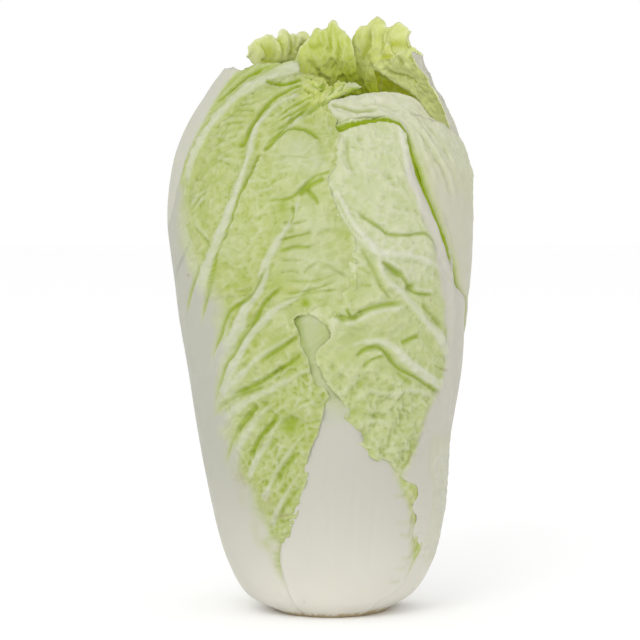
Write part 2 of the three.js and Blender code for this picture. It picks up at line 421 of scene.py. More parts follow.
def near(skin, path, reach):
    """The points within reach of a path: which, how far, how far along it, and +1 right of it."""
    curve = smooth(path, 2.0)
    q = on_head(curve[:, 0], curve[:, 1])
    a, b = flat(curve[:, 0], curve[:, 1])
    where = np.all((skin.base > q.min(0) - reach) & (skin.base < q.max(0) + reach), -1)
    p, pa, pb = skin.base[where], skin.a[where], skin.b[where]
    best, t, side = np.full(len(p), 1e9), np.zeros(len(p)), np.ones(len(p))
    for k in range(len(q) - 1):
        d = q[k + 1] - q[k]
        f = np.clip(((p - q[k]) @ d) / (d @ d), 0, 1)
        far = ((p - q[k] - f[:, None] * d) ** 2).sum(1)
        nearer = far < best
        best[nearer], t[nearer] = far[nearer], (k + f[nearer]) / (len(q) - 1)
        hand = (pa - a[k]) * (b[k + 1] - b[k]) - (pb - b[k]) * (a[k + 1] - a[k])
        side[nearer] = np.sign(hand[nearer])
    return where, np.sqrt(best), t, side


def beyond(skin, path, side=1, soft=2.5, wander=0.0, shift=0.0):
    """1 on the right of a path (side 1) or the left (side -1), and 0 on the other hand."""
    _, d, _, hand = near(skin, path, WHOLE_LEAF)
    d = (d * hand).reshape(skin.turn.shape) * side - shift
    d = d + wander * noise(skin.a / 7, skin.b / 7, skin.seed + 5)
    return smoothstep(-soft, soft, d)


# %% [markdown]
# ## Strokes
#
# A grower would know these by name. A rib or vein stands up from the back of the leaf and is
# pale. A crease sinks, and it gets painted shade: a stronger, darker green, for the shade in it
# and the light that has passed through the leaf. A step is where one layer of a fold lies over
# the other, with painted shadow below the higher layer, and a cleft is a crisp gap between two
# layers, filled with painted shade. A pillow is a smooth swelling, and a pocket where it sinks
# can get painted shade. A stain is a brownish line where a margin has begun to dry, and a speck
# is a dark dot no bigger than a pinhead. In the formulas d is the distance from the stroke's
# line, so each of them is the stroke's section.

# %% Veins, creases, steps and pillows
def ends_fade(t, ends):
    """1 along a stroke, and less near its start and its end."""
    return smoothstep(0, max(ends[0], 1e-6), t) * smoothstep(0, max(ends[1], 1e-6), 1 - t)


def uneven(skin, where):
    """A factor near 1 that keeps a line from looking like a tube."""
    return 1 + 0.3 * noise(skin.a[where] / 3.5, skin.b[where] / 3.5, skin.seed + 60)


VEIN_RELIEF = 0.7  # share of a vein's height that shows, as a fresh blade is plump beside its veins


def rib(skin, path, width, height, pale=1.0, ends=(0, 0.15), groove=0.3):
    """A raised vein. Width, height and paleness may change along the path."""
    where, d, t, _ = near(skin, path, 4 * np.max(width))
    w = spread(width, t) * uneven(skin, where)
    fade = ends_fade(t, ends)
    profile = np.exp(-((d / w) ** 2)) - groove * np.exp(-(((d - 2.1 * w) / (0.9 * w)) ** 2))
    skin.relief[where] += VEIN_RELIEF * spread(height, t) * fade * profile
    skin.shade(skin.vein, where, spread(pale, t) * fade * np.exp(-((d / (1.25 * w)) ** 4)))


def crease(skin, path, width, depth, deep=1.0, ends=(0.2, 0.2), through=0.0):
    """A sunk line with painted shade in it, a strong green. Through is how much of a stalk's white it clears.
    """
    where, d, t, _ = near(skin, path, 4 * np.max(width))
    w = spread(width, t) * uneven(skin, where)
    fade = ends_fade(t, ends)
    skin.relief[where] -= spread(depth, t) * fade * np.exp(-((d / w) ** 2))
    skin.white[where] *= 1 - through * fade * np.exp(-((d / (1.6 * w)) ** 2))
    skin.shade(skin.crease, where, spread(deep, t) * fade * np.exp(-((d / (1.3 * w)) ** 2)))


def stain(skin, path, width, amount, ends=(0.3, 0.3)):
    """A brownish line, where a margin has begun to dry."""
    where, d, t, _ = near(skin, path, 4 * np.max(width))
    patchy = smoothstep(-0.6, 0.5, noise(skin.a[where] / 1.8, skin.b[where] / 1.8, skin.seed + 80))
    profile = np.exp(-((d / spread(width, t)) ** 2))
    skin.shade(skin.stain, where, spread(amount, t) * ends_fade(t, ends) * patchy * profile)


def speck(skin, place, radius, amount=0.9):
    """A small dark spot."""
    far = np.linalg.norm(skin.base - on_head(*place), axis=-1)
    skin.stain = np.maximum(skin.stain, amount * np.exp(-((far / radius) ** 2)))


def cleft(skin, path, half_width, depth, soft=0.35, glow=0.0, ends=(0.05, 0.05)):
    """A crisp gap between two layers, filled with painted shade to its borders."""
    where, d, t, _ = near(skin, path, 3 * np.max(half_width) + 2)
    w = spread(half_width, t) * ends_fade(t, ends)
    d = d + 0.25 * noise(skin.a[where] / 2.5, skin.b[where] / 2.5, skin.seed + 65)
    gap = (1 - smoothstep(-soft, soft, d - w)) * smoothstep(0, 0.3, w)
    skin.relief[where] -= depth * np.exp(-((d / np.maximum(w, 0.3)) ** 4)) * smoothstep(0, 0.3, w)
    skin.white[where] *= 1 - gap
    skin.vein[where] *= 1 - gap
    skin.shade(skin.crease, where, gap)
    skin.shade(skin.glow, where, glow * gap)


def step(skin, path, rise, reach, side=1, ramp=0.8, deep=0.9, lip=0.7, ends=(0.15, 0.15)):
    """The right of the path (side 1) or the left (side -1) stands higher, with a pale lip, and painted shadow
    falls below it.
    """
    where, d, t, hand = near(skin, path, 3 * reach)
    d = d * hand * side
    fade = ends_fade(t, ends)
    up = smoothstep(-ramp, ramp, d)
    raised = up * np.exp(-((np.maximum(d, 0) / reach) ** 2))
    sunk = (1 - up) * np.exp(-((np.minimum(d, 0) / (0.4 * reach)) ** 2))
    skin.relief[where] += spread(rise, t) * fade * (raised - 0.45 * sunk)
    shadow = (d < ramp) * np.exp(-(((d + 1.2 * ramp) / (1.7 * ramp)) ** 2))
    skin.shade(skin.crease, where, deep * fade * shadow)
    skin.shade(skin.vein, where, lip * fade * (d > 0) * np.exp(-(((d - 1.6) / 1.3) ** 2)))


def pillow(skin, place, radius, height, deep=0.0, pale=0.0):
    """A smooth swelling, or a pocket where the height is negative. It can be given painted shade, and
    paleness.
    """
    centre = on_head(*place)
    dome = np.exp(-((np.linalg.norm(skin.base - centre, axis=-1) / radius) ** 2))
    skin.relief += height * dome
    skin.crease = np.maximum(skin.crease, deep * dome)
    skin.vein = np.maximum(skin.vein, pale * dome)


def band(skin, path, half_width, pale, soft=1.5, ends=(0.05, 0.1)):
    """A broad pale stripe with soft sides, as a big vein is where it flattens out."""
    where, d, t, _ = near(skin, path, 2 * np.max(half_width) + 2 * soft)
    sway = 0.6 * noise(skin.a[where] / 5, skin.b[where] / 5, skin.seed + 70)
    across = 1 - smoothstep(-soft, soft, d - spread(half_width, t) + sway)
    skin.shade(skin.vein, where, spread(pale, t) * ends_fade(t, ends) * across)


def stroke_family(stroke, skin, first, last, count, width, height, **options):
    """Strokes on count lines between a first and a last one, no two quite alike."""
    for k in range(count):
        places = np.arange(len(first))
        luck = [2 * chance(places, places * 0 + k, skin.seed + 40 + n) - 1 for n in range(3)]
        f = (k + 0.3 * luck[2][0]) / max(count - 1, 1)
        path = first * (1 - f) + last * f + np.stack([1.4 * luck[0], 0.06 * luck[1]], 1)
        stroke(skin, path, width, height * (0.85 + 0.35 * luck[2][1]), **options)


# %% [markdown]
# ## Blisters and frills
#
# Between its veins a cabbage leaf is puckered: a net of small raised veins with sunken cells.
# Scattered cells (a Voronoi pattern) grow just so, and the distance to the border between two
# cells gives the vein. Margins are frilled, because a leaf's edge grows longer than its middle.

# %% Nets, swells and frills
def cells(x, y, seed):
    """Distance to the border between scattered cells about 1 wide, and a number for each cell."""
    i, j = np.floor(x), np.floor(y)
    near_d, next_d, number = np.full(x.shape, 9.0), np.full(x.shape, 9.0), np.zeros(x.shape)
    near_c, next_c = np.zeros(x.shape + (2,)), np.zeros(x.shape + (2,))
    for p in (-1, 0, 1):
        for q in (-1, 0, 1):
            c = np.stack([i + p + 0.12 + 0.76 * chance(i + p, j + q, seed),
                          j + q + 0.12 + 0.76 * chance(i + p, j + q, seed + 1)], -1)
            d = (c[..., 0] - x) ** 2 + (c[..., 1] - y) ** 2
            first = d < near_d
            second = (d < next_d) & ~first
            next_d = np.where(first, near_d, np.where(second, d, next_d))
            next_c = np.where(first[..., None], near_c, np.where(second[..., None], c, next_c))
            near_d, near_c = np.where(first, d, near_d), np.where(first[..., None], c, near_c)
            number = np.where(first, chance(i + p, j + q, seed + 2), number)
    apart = np.linalg.norm(next_c - near_c, axis=-1)
    return (next_d - near_d) / (2 * np.maximum(apart, 1e-3)), number


def net(skin, size, height, where=1.0, lean=0.0, stretch=1.0, width=0.7, pale=0.6, deep=0.4, seed=0):
    """A net of fine veins in cells of a size, with the cells sunk between them and painted with shade."""
    wave = 0.9 * size
    a = skin.a + 0.4 * size * noise(skin.a / wave, skin.b / wave, skin.seed + seed)
    b = skin.b + 0.4 * size * noise(skin.a / wave, skin.b / wave, skin.seed + seed + 1)
    c, s = math.cos(math.radians(lean)), math.sin(math.radians(lean))
    edge, number = cells((a * c + b * s) / (size * stretch), (b * c - a * s) / size, skin.seed + seed + 2)
    ridge = np.exp(-((edge * size / width) ** 2))
    bowl = smoothstep(0.2 * width, 0.42 * size, edge * size)
    uneven = where * (0.5 + 0.5 * number)
    skin.relief += height * uneven * (ridge - 0.9 * bowl)
    skin.vein = np.maximum(skin.vein, pale * where * ridge)
    skin.crease = np.maximum(skin.crease, deep * uneven * bowl)


def swell(skin, size, height, where=1.0, seed=0):
    """Gentle unevenness."""
    skin.relief += height * where * noise(skin.a / size, skin.b / size, skin.seed + 20 + seed)


def frill(skin, reach, height, wave, where=1.0, along=(0.7, 1.0), seed=0):
    """Waves that grow towards the margins. They follow one another round and up the head."""
    grow = np.exp(-skin.from_margin / reach) * where
    sway = 2.2 * noise(skin.a / wave, skin.b / wave, skin.seed + 30 + seed)
    phase = (along[0] * skin.a + along[1] * skin.b) / wave * 2 * math.pi
    skin.relief += height * grow * np.sin(phase + sway)


def stalk(skin, path, half_width, bulge, soft=3.0):
    """The broad white rib at the base of a leaf, smooth and rounded."""
    where, d, t, _ = near(skin, path, 2 * np.max(half_width))
    w = spread(half_width, t)
    skin.relief[where] += bulge * np.exp(-((d / w) ** 4))
    sway = 1.5 * noise(skin.a[where] / 8, skin.b[where] / 8, skin.seed + 6)
    skin.shade(skin.white, where, 1 - smoothstep(-soft, soft, d - w + sway))


def branches(skin, path, count, reach, rise, width, height, first=0.25, sides=(-1, 1), seed=0):
    """Side veins that leave a rib by turns, and curve up and away from it."""
    curve = smooth(path, 4)
    for k in range(count):
        f = first + (0.96 - first) * (k + 0.5) / count
        for side in sides:
            n = np.array([k * 2 + (side > 0)])
            luck = chance(n, n * 0, skin.seed + 50 + seed)[0] - 0.5
            turn, level = curve[int(np.clip(f + 0.05 * luck, 0, 0.99) * len(curve))]
            out = side * reach * (1.15 - f) * (1 + 0.5 * luck)
            lift = rise * (1.0 + 0.6 * luck)
            way = np.array([[turn, level], [turn + 0.45 * out, level + 0.42 * lift], [turn + out,
                level + lift]])
            rib(skin, way, [width * (1.2 - f), 0.5 * width * (1.2 - f)], [height, 0.4 * height],
                ends=(0, 0.4))


# %% [markdown]
# ## From a skin to a solid leaf
#
# A leaf is a thin solid, so its mesh is closed. The outer side carries the detail and is a
# fine grid. The inner side lies on the next leaf, so there every third point is enough, and a
# rim of narrow faces joins the two. A leaf whose inner side shows keeps both sides fine.

# %% A closed mesh
def grid_quads(index):
    """A grid's faces, as four point numbers each."""
    return np.stack([index[:-1, :-1], index[:-1, 1:], index[1:, 1:], index[1:, :-1]], -1).reshape(-1, 4)


def border(index):
    """A grid's border points, in order round it."""
    return np.concatenate([index[0, :-1], index[:-1, -1], index[-1, :0:-1], index[:0:-1, 0]])


def closed_mesh(name, outer, inner, coarse):
    """Joins an outer grid of points and an inner one that has every coarse-th point of it."""
    top = np.arange(outer[..., 0].size).reshape(outer.shape[:2])
    bottom = top.size + np.arange(inner[..., 0].size).reshape(inner.shape[:2])
    quads = np.concatenate([grid_quads(top), grid_quads(bottom)[:, ::-1]])
    around, within = border(top), border(bottom)
    runs = [np.roll(around, -j)[::coarse] for j in range(coarse, -1, -1)]
    rim = np.stack([*runs, within, np.roll(within, -1)], 1)
    points = np.concatenate([outer.reshape(-1, 3), inner.reshape(-1, 3)]) * MM
    mesh = bpy.data.meshes.new(name)
    sizes = np.concatenate([np.full(len(quads), 4), np.full(len(rim), rim.shape[1])])
    mesh.vertices.add(len(points))
    mesh.vertices.foreach_set("co", points.ravel().astype(np.float32))
    mesh.loops.add(int(sizes.sum()))
    mesh.loops.foreach_set("vertex_index", np.concatenate([quads.ravel(), rim.ravel()]).astype(np.int32))
    mesh.polygons.add(len(sizes))
    mesh.polygons.foreach_set("loop_start", (np.cumsum(sizes) - sizes).astype(np.int32))
    mesh.polygons.foreach_set("use_smooth", np.ones(len(sizes), bool))
    mesh.update(calc_edges=True)
    mesh.validate()
    return mesh


# %% [markdown]
# The masks become attributes of the mesh, which the material reads. The cavity and ridge masks
# come from the relief itself: a point lower than its surroundings is in a cavity and gets painted
# shade, and a point higher gets a painted highlight in the vein colour. `low` fades up from the
# foot and paints light from the floor on the stalk there, and `cut` is the strip at the knife's
# cut. Both sides share the masks, but a leaf's inner side can be less white, and colours that
# belong to the inner side only can be kept off the outer one.

# %% Colour masks of a leaf
SMALL_FOLD, BROAD_FOLD = 1.6, 4.5  # mm, the sizes of fold that count as cavities and ridges
FOOT_TOP = 95  # mm, where the painted light from the floor on the stalk's foot has died away
CUT_EDGE = (0.6, 2.4)  # mm, the heights between which the cut's colour dies away


def masks_of(skin, rim):
    """The masks that the material reads. Rim is the paleness and the width of the margin: painted light, for
    the light that comes through the thin edge.
    """
    small = skin.relief - blurred(skin.relief, SMALL_FOLD / skin.cell)
    broad = skin.relief - blurred(skin.relief, BROAD_FOLD / skin.cell)
    # Paler margins are painted light, for the light that comes through the thin edge.
    pale_rim = rim[0] * np.exp(-((skin.from_margin / rim[1]) ** 2)) * (1 - skin.white) * (1 - skin.crease)
    height = skin.base[..., 2]
    ragged_height = height + 0.8 * noise(skin.a / 3, skin.b / 3, skin.seed + 8)
    return {
        "vein": np.maximum(skin.vein, pale_rim), "crease": skin.crease, "white": skin.white,
        "glow": skin.glow, "stain": skin.stain,
        # cavity is painted shade, ridge a painted highlight, and low painted light from the floor
        "cavity": np.clip(-1.6 * small - 0.5 * broad, 0, 1),
        "ridge": np.clip(1.2 * small + 0.4 * broad, 0, 1),
        "low": np.clip(1 - height / FOOT_TOP, 0, 1) ** 2,
        "cut": 1 - smoothstep(*CUT_EDGE, ragged_height),
    }


# %% A leaf from its skin
INNER_BLUR = 3.0  # mm, the folds that the inner side leaves out
THIN_MARGIN, THIN_REACH = 0.35, 7  # share of its thickness a margin has, and mm to the whole of it


def leaf(name, skin, thickness, inset, node, coarse=COARSE, bend=None, inner_white=1.0, rim=(0.5, 1.2),
         inside=()):
    """Makes the leaf that stands for a node.

    Inset is how far it lies under the head's outline, in mm. Bend, if given, moves the points
    last of all. Inner_white is the share of white kept on the inner side, and the masks that
    inside names are for the inner side only.
    """
    inset = inset + np.zeros(skin.turn.shape)
    smoothed = np.minimum(blurred(skin.relief, INNER_BLUR / skin.cell), skin.relief)
    low = smoothed if coarse > 1 else skin.relief
    thick = thickness * (THIN_MARGIN + (1 - THIN_MARGIN) * smoothstep(0, THIN_REACH, skin.from_margin))
    outer = skin.base + skin.normal * (skin.relief - inset)[..., None]
    inner = (skin.base + skin.normal * (low - inset - thick)[..., None])[::coarse, ::coarse]
    if bend is not None:
        outer, inner = bend(outer, skin, 1), bend(inner, skin, coarse)
    outer[..., 2], inner[..., 2] = np.maximum(outer[..., 2], 0), np.maximum(inner[..., 2], 0)
    mesh = closed_mesh(name, outer, inner, coarse)
    for label, values in masks_of(skin, rim).items():
        within = values * inner_white if label == "white" else values
        without = values * 0 if label in inside else values
        both = np.concatenate([without.ravel(), within[::coarse, ::coarse].ravel()])
        mesh.attributes.new(label, "FLOAT", "POINT").data.foreach_set("value", both.astype(np.float32))
    piece = bpy.data.objects.new(name, mesh)
    bpy.context.scene.collection.objects.link(piece)
    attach(piece, "root")
    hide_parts(node)
    faces = sum(len(p.vertices) - 2 for p in mesh.polygons)
    print(f"{name}: {faces} triangles in its closed mesh")
    return piece


# %% [markdown]
# ## The left front leaf
#
# The outermost leaf of the front. Its midrib runs up the left of the head and bends over the
# top as a thick pale edge. The blade wraps across the front and is gathered into folds where
# its big veins fan down and left. It is drawn from the top down.

# %% Left front leaf: margins
LEFT_EDGE = np.concatenate([[[-132, 0], [-132, 1.7], [-134, 3], [-136, 4.6], [-130, 5.8], [-114, 7.4]],
    line((-79, 202), (-75.5, 215), (-72.5, 226), (-67.7, 238), (-60.5, 251.5), (-50.8, 262), (-39.5, 270.8),
    (-28, 275.5), (-16, 278.3))])
LEFT_OVERLAP = line((-15.5, 9), (-22, 20), (-23, 29), (-20, 42), (-15.5, 55), (-11.5, 68), (-11.5, 79),
    (-7, 89.5), (-2.5, 103.5), (-0.5, 111.5), (-2.5, 115.5), (-9, 122), (-10.5, 128), (-13.4, 134.7),
    (-15.2, 141.3), (-17.5, 148.6), (-15.5, 151.6), (-9, 150), (-2.5, 149.4), (5, 151.5), (11, 159),
    (13, 165), (13.5, 179), (13, 188), (9, 196.5), (4.8, 202.5), (2.2, 209.5), (-0.6, 215.5), (-1.5, 220),
    (1.8, 224.5), (6.3, 230), (3.8, 236), (5.2, 241.5), (2.6, 246.5), (4, 249.5), (0.6, 253), (-0.5, 257),
    (2.2, 260.3), (8.5, 262.3), (16, 266))
LEFT_OVERLAP[0, 1] = 0
left_front = Skin(LEFT_EDGE, LEFT_OVERLAP, tip=line((-15.5, 271.5), (-10, 271.8), (-4, 269.5), (0, 266.4),
    (4.5, 267.6), (10, 267.8)), seed=11, ragged=(0, 0.8, 0.8))
left_front.tell("left front leaf, plain")

# %% [markdown]
# The stalk of this leaf is the white part at the lower left, and its border climbs from the
# foot to the left side of the head.

# %% Left front leaf: stalk, midrib and veins
left_white = beyond(left_front, line((-10, 6), (-24.5, 24.5), (-28.5, 34), (-36, 50.5), (-41.5, 63.5),
    (-49, 81), (-53, 98.5), (-53.5, 112), (-53, 130), (-54, 146), (-59, 158), (-66, 167), (-72, 178),
    (-75, 190), (-74.5, 203), (-74, 213), (-77, 224), (-80, 234)), side=-1, soft=8, wander=5)
left_white *= beyond(left_front, [[-118, 0], [-118, 3], [-112, 6], [-96, 8.5]], soft=3)
left_front.white = left_white
left_blade = 1 - left_white  # the green part
by_stalk = beyond(left_front, line((-34, 30), (-36, 50.5), (-41.5, 63.5), (-46, 81), (-48, 98.5),
    (-46, 116), (-45, 134), (-50, 152), (-58, 167), (-66, 182)), side=-1, soft=9, wander=4)
left_front.vein = 0.75 * by_stalk * left_blade
swell(left_front, 40, 1.4, seed=1)
swell(left_front, 14, 0.7, left_blade, seed=2)
for x, z, size, pale in ((-8, 196, 16, 0.45), (-12, 178, 15, 0.5), (2, 172, 14, 0.45), (-45, 225, 9, 0.3),
        (-28, 150, 12, 0.35), (-50, 185, 12, 0.35), (-34, 118, 12, 0.35), (-40, 95, 12, 0.35), (-24, 268, 8,
        0.3)):
    pillow(left_front, seen(x, z), size, 0, pale=pale)
net(left_front, 12, 0.5, left_blade, lean=35, stretch=1.6, width=1.2, pale=0.2, seed=3)
net(left_front, 5, 0.3, left_blade, lean=30, stretch=1.4, width=0.6, pale=0.16, seed=7)
net(left_front, 2.9, 0.16, left_blade, lean=20, stretch=1.3, width=0.45, pale=0.14, deep=0.25, seed=8)
MIDRIB = line((-16, 274.5), (-28, 271.8), (-37.5, 268), (-48.7, 259.3), (-58, 249), (-64.5, 238),
    (-69.3, 226), (-72.5, 214))
rib(left_front, MIDRIB, [3.0, 2.6, 2.6, 3.0], [1.8, 1.8, 1.6, 0.8], pale=[0.4, 0.4, 0.4, 0.3], ends=(0, 0.3))
band(left_front, MIDRIB, [3.4, 3.2, 3.2, 3.6], [0.9, 0.85, 0.85, 0.8], soft=1.1, ends=(0, 0.1))
VEIN_ONE = line((-14, 262.5), (-25, 257.5), (-33, 250.5), (-37.4, 242.4), (-39.8, 233.2), (-41.4, 226.3),
    (-44.4, 217), (-48.2, 207), (-52.4, 198), (-57, 187), (-61.5, 175), (-66, 160), (-68.5, 140))
rib(left_front, VEIN_ONE, [0.9, 1.4, 2.0, 3.0, 3.8, 4.4], [1.0, 1.8, 2.2, 1.8, 1.2, 0.5], pale=0.3,
    ends=(0.03, 0.2))
band(left_front, VEIN_ONE, [0.8, 1.3, 1.8, 2.8, 3.9, 4.4], [0.9, 0.95, 0.95, 0.95, 0.9, 0.8], soft=1.0,
    ends=(0.03, 0.05))
crease(left_front, line((-13, 266.5), (-22.5, 263), (-31.5, 257), (-37.5, 249), (-42.3, 238.5), (-44.8, 234)),
       0.9, [0.7, 1.6, 1.4], ends=(0.05, 0.1))
pillow(left_front, seen(-44, 236.5), 2.2, -1.2, deep=1.0)
step(left_front, line((-34.5, 231), (-38.5, 221), (-43.1, 212.3), (-46.9, 203.7), (-51.6, 191.3),
    (-56.4, 180), (-60, 166), (-62, 148)), [1.5, 1.2, 0.9, 0.5], 4, side=-1, ramp=0.5, deep=0.95, lip=0,
    ends=(0.02, 0.3))
VEIN_TWO = line((-14.5, 212.5), (-19, 199.5), (-26.5, 187), (-31.5, 177.5), (-34.5, 167), (-41, 157),
    (-47, 143.5), (-54, 134), (-59.5, 124))
rib(left_front, VEIN_TWO, [0.9, 1.3, 1.7, 2.2, 2.4], [0.8, 1.3, 1.8, 1.8, 0.8], pale=0.35, ends=(0.1, 0.2))
crease(left_front, line((-30, 178), (-33.5, 172), (-38.8, 161.8), (-50.7, 152), (-53.7, 143.7),
    (-57.5, 132), (-61, 120)), [0.8, 1.0, 1.0, 0.7], [1.2, 1.2, 0.8, 0.3], deep=[1, 1, 0.9, 0.4],
    ends=(0.1, 0.3), through=0.9)
VEIN_THREE = line((-7.5, 173), (-14.5, 162.5), (-26.5, 155.5), (-33.5, 148), (-41, 140.5), (-46, 131),
    (-50.5, 121), (-54, 112))
rib(left_front, VEIN_THREE, [0.8, 1.1, 1.6, 2.0, 2.0], [0.7, 1.1, 1.6, 1.6, 0.8], pale=0.35, ends=(0.1, 0.2))
crease(left_front, line((-21, 167.5), (-31.2, 158.4), (-37.3, 148.6), (-43.4, 140), (-47, 132.7),
    (-52, 125.4), (-56.8, 110.7), (-59.5, 100)), [0.8, 1.0, 1.0, 0.7], [1.4, 1.4, 0.9, 0.3],
    deep=[1, 1, 0.9, 0.4], ends=(0.1, 0.3), through=0.9)
band(left_front, VEIN_TWO, [0.9, 1.6, 2.4, 3.0, 3.4], [0.7, 0.85, 0.95, 1.0, 1.0], soft=1.0, ends=(0.05, 0))
band(left_front, VEIN_THREE, [0.8, 1.4, 2.2, 2.6, 3.0], [0.6, 0.8, 0.95, 1.0, 1.0], soft=1.0, ends=(0.05, 0))
for way in (line((-55.6, 184), (-58, 172), (-61.5, 158), (-64, 144)), line((-30, 117), (-38, 114),
        (-46, 111), (-53, 107), (-60, 98)), line((-36, 107), (-43.4, 98.5), (-49, 88), (-53, 76)),
        line((-64.5, 178), (-67, 170), (-69.5, 161), (-71, 150))):
    crease(left_front, way, [0.8, 1.1, 0.8], [0.9, 0.8, 0.3], deep=[0.9, 0.7, 0.3], ends=(0.15, 0.3),
        through=0.85)
for x, z, fall in ((-37, 190, 0), (-58, 190, 3), (-30, 205, 4), (-64, 205, 2), (-48, 172, 0)):
    way = line((x, z), (x - 6, z - 8 + fall), (x - 13, z - 15 + fall))
    rib(left_front, way, 0.8, 0.5, pale=0.3, ends=(0.3, 0.3))
left_front.tell("left front leaf, with its veins")

# %% [markdown]
# Near the top the blade is curled and pleated between its veins, and light comes through
# where it is thinnest. The strokes there are short, since the folds are.

# %% Left front leaf: the curled top
cleft(left_front, line((-32, 269), (-26.5, 267.4), (-20.7, 267.1), (-14.3, 269)), [0.5, 1.1, 1.2, 0.9], 1.4,
    soft=0.6, glow=0.1)
DEEP_FOLD = line((15, 265), (8, 262), (0, 259.6), (-9.5, 254.5), (-15.7, 249.6), (-22.6, 243.6),
    (-29, 237.5), (-34, 233.5))
step(left_front, DEEP_FOLD, [1.4, 2.6, 3.0, 2.4, 1.2], 8, side=-1, ramp=0.7, deep=1.0, ends=(0.02, 0.15))
crease(left_front, line((13, 263.4), (6, 260.2), (-3, 256.5), (-11, 251.5), (-18, 245.5)), [0.9, 1.5, 1.1],
    1.6, ends=(0.1, 0.3))
band(left_front, line((15, 266.3), (8, 265.8), (2, 263.6), (-6, 260)), [1.2, 1.9, 1.9, 1.4], 0.75, soft=0.9,
    ends=(0, 0.3))
for x, z, size in ((-11.5, 269, 1.8), (-8, 267, 1.6), (-12, 265.3, 1.5), (-4.5, 266.6, 1.7), (-8.5, 263.6,
        1.4), (-1.5, 268, 1.3)):
    pillow(left_front, seen(x, z), size, 1.3, pale=0.3)
for way in (line((-13.5, 270.3), (-9.5, 268), (-6, 268.6)), line((-10, 266.6), (-6.5, 265), (-2.5, 266.5)),
        line((-14, 264.2), (-10.5, 263.2), (-6.5, 261.5)), line((-3.5, 268.5), (-2.8, 265.5), (-5, 263)),
        line((2, 266.8), (1, 263.5), (-1.5, 261.8)), line((7.5, 267), (6, 264.8), (3.5, 263.4))):
    crease(left_front, way, 0.7, 1.0, deep=1.0)
curled = np.exp(-((np.linalg.norm(drawing(left_front.base) - [-3, 264], axis=-1) / 11) ** 4))
net(left_front, 3.6, 0.4, curled, width=0.6, pale=0.5, deep=0.5, seed=41)
left_front.glow = 0.35 * curled
stroke_family(crease, left_front, line((-6, 262), (-16, 257.5), (-27, 249.5)), line((-8, 257.5),
    (-20, 249.5), (-31, 240)), 3, 0.7, 0.8, deep=0.9, ends=(0.2, 0.3))
stroke_family(crease, left_front, line((-46, 258.5), (-36, 257)), line((-54, 247), (-42, 248)), 4, 0.7, 0.6,
    deep=0.6)
puckered = np.exp(-((np.linalg.norm((drawing(left_front.base) - [-52, 236]) / [9, 14], axis=-1)) ** 4))
net(left_front, 4.2, 0.55, puckered, lean=12, stretch=2.0, width=0.7, pale=0.3, deep=0.5, seed=25)
for way in (line((-58, 228), (-52, 227.5), (-47, 225)), line((-70, 203), (-64, 210), (-60, 213.5)),
        line((-66, 205), (-61, 209)), line((-69, 196), (-62, 189), (-59, 183))):
    crease(left_front, way, 0.6, 0.6, deep=0.5)
    rib(left_front, way + [0, 0.07], 0.7, 0.4, pale=0.5, ends=(0.2, 0.3))
left_front.tell("left front leaf, curled at the top")

# %% [markdown]
# Under an arched crease the blade bulges into a smooth pillow. Below that one fold lies over
# another, with painted shade in the gap, the strongest green of the leaf, and short wrinkles
# run across.

# %% Left front leaf: folds of the upper half
crease(left_front, line((-33.5, 233), (-27, 238.3), (-20.3, 243), (-11.1, 243), (-5.3, 239.5), (-3.5, 233)),
    0.9, 1.5, ends=(0.05, 0.3))
pillow(left_front, seen(-16, 233), 12, 2.0, pale=0.65)
pillow(left_front, seen(-9, 226), 8, 0.8, pale=0.6)
crease(left_front, line((-26, 230), (-17, 229.5), (-9, 229)), 0.6, 0.6, deep=0.5)
FOLD_STEP = line((1, 224.3), (-3, 223), (-7, 221.8), (-11.3, 218.7), (-17.4, 211.8), (-21, 210), (-27, 209),
    (-36, 209))
step(left_front, FOLD_STEP, [0.3, 0.7, 1.4, 0.8, 0.4], 11, side=1, ramp=0.5, lip=0.3, ends=(0.05, 0.25))
under_fold = beyond(left_front, FOLD_STEP, soft=3) * np.exp(-((left_front.base[..., 2] - 210) / 16) ** 2)
net(left_front, 3.2, 0.3, under_fold * left_blade, width=0.5, pale=0.3, deep=0.3, seed=31)
crease(left_front, line((-3, 220.5), (-6.5, 218.8), (-11, 215.8), (-15.8, 210.8)), [0.9, 1.6, 1.7, 1.2],
    [0.1, 0.5, 1.0, 1.0], deep=0.95, ends=(0.05, 0.1))
crease(left_front, line((-12, 214.5), (-9, 212), (-7, 209.5), (-5.2, 205.4)), [1.6, 1.3, 0.6], 0.9,
    deep=0.9, ends=(0.05, 0.2))
pillow(left_front, seen(-24, 205), 4, -0.8, deep=0.7)
crease(left_front, line((-19.5, 207), (-18.3, 202), (-20.5, 196)), 0.8, 1.2)
crease(left_front, line((-30, 209), (-27, 198), (-32, 188)), 1.4, 0.8, deep=0.4)
stroke_family(crease, left_front, line((-24, 157), (-8, 161), (9, 165)), line((-22, 167), (-8, 170),
    (9, 173)), 3, 0.7, 0.7, deep=0.6, ends=(0.1, 0.25))
for way, deep in ((line((-26, 188.6), (-20, 190.2), (-14, 191), (-6.5, 193.6)), 0.9),
        (line((-26, 182.2), (-18, 185), (-11.3, 185.7), (-6.5, 186.6)), 0.9),
        (line((-25, 178), (-19, 178.9), (-12.6, 178.4)), 0.5), (line((-26, 172), (-20, 173.5), (-14, 172)),
        0.5), (line((-24, 197), (-17, 197.5), (-10, 199.5)), 0.35), (line((-14, 171.5), (-9, 176),
        (-4.6, 178.8)), 0.5), (line((-3, 177), (4, 173.6), (10, 169.5)), 0.4)):
    crease(left_front, way, 0.8, 0.9, deep=deep, ends=(0.15, 0.25))
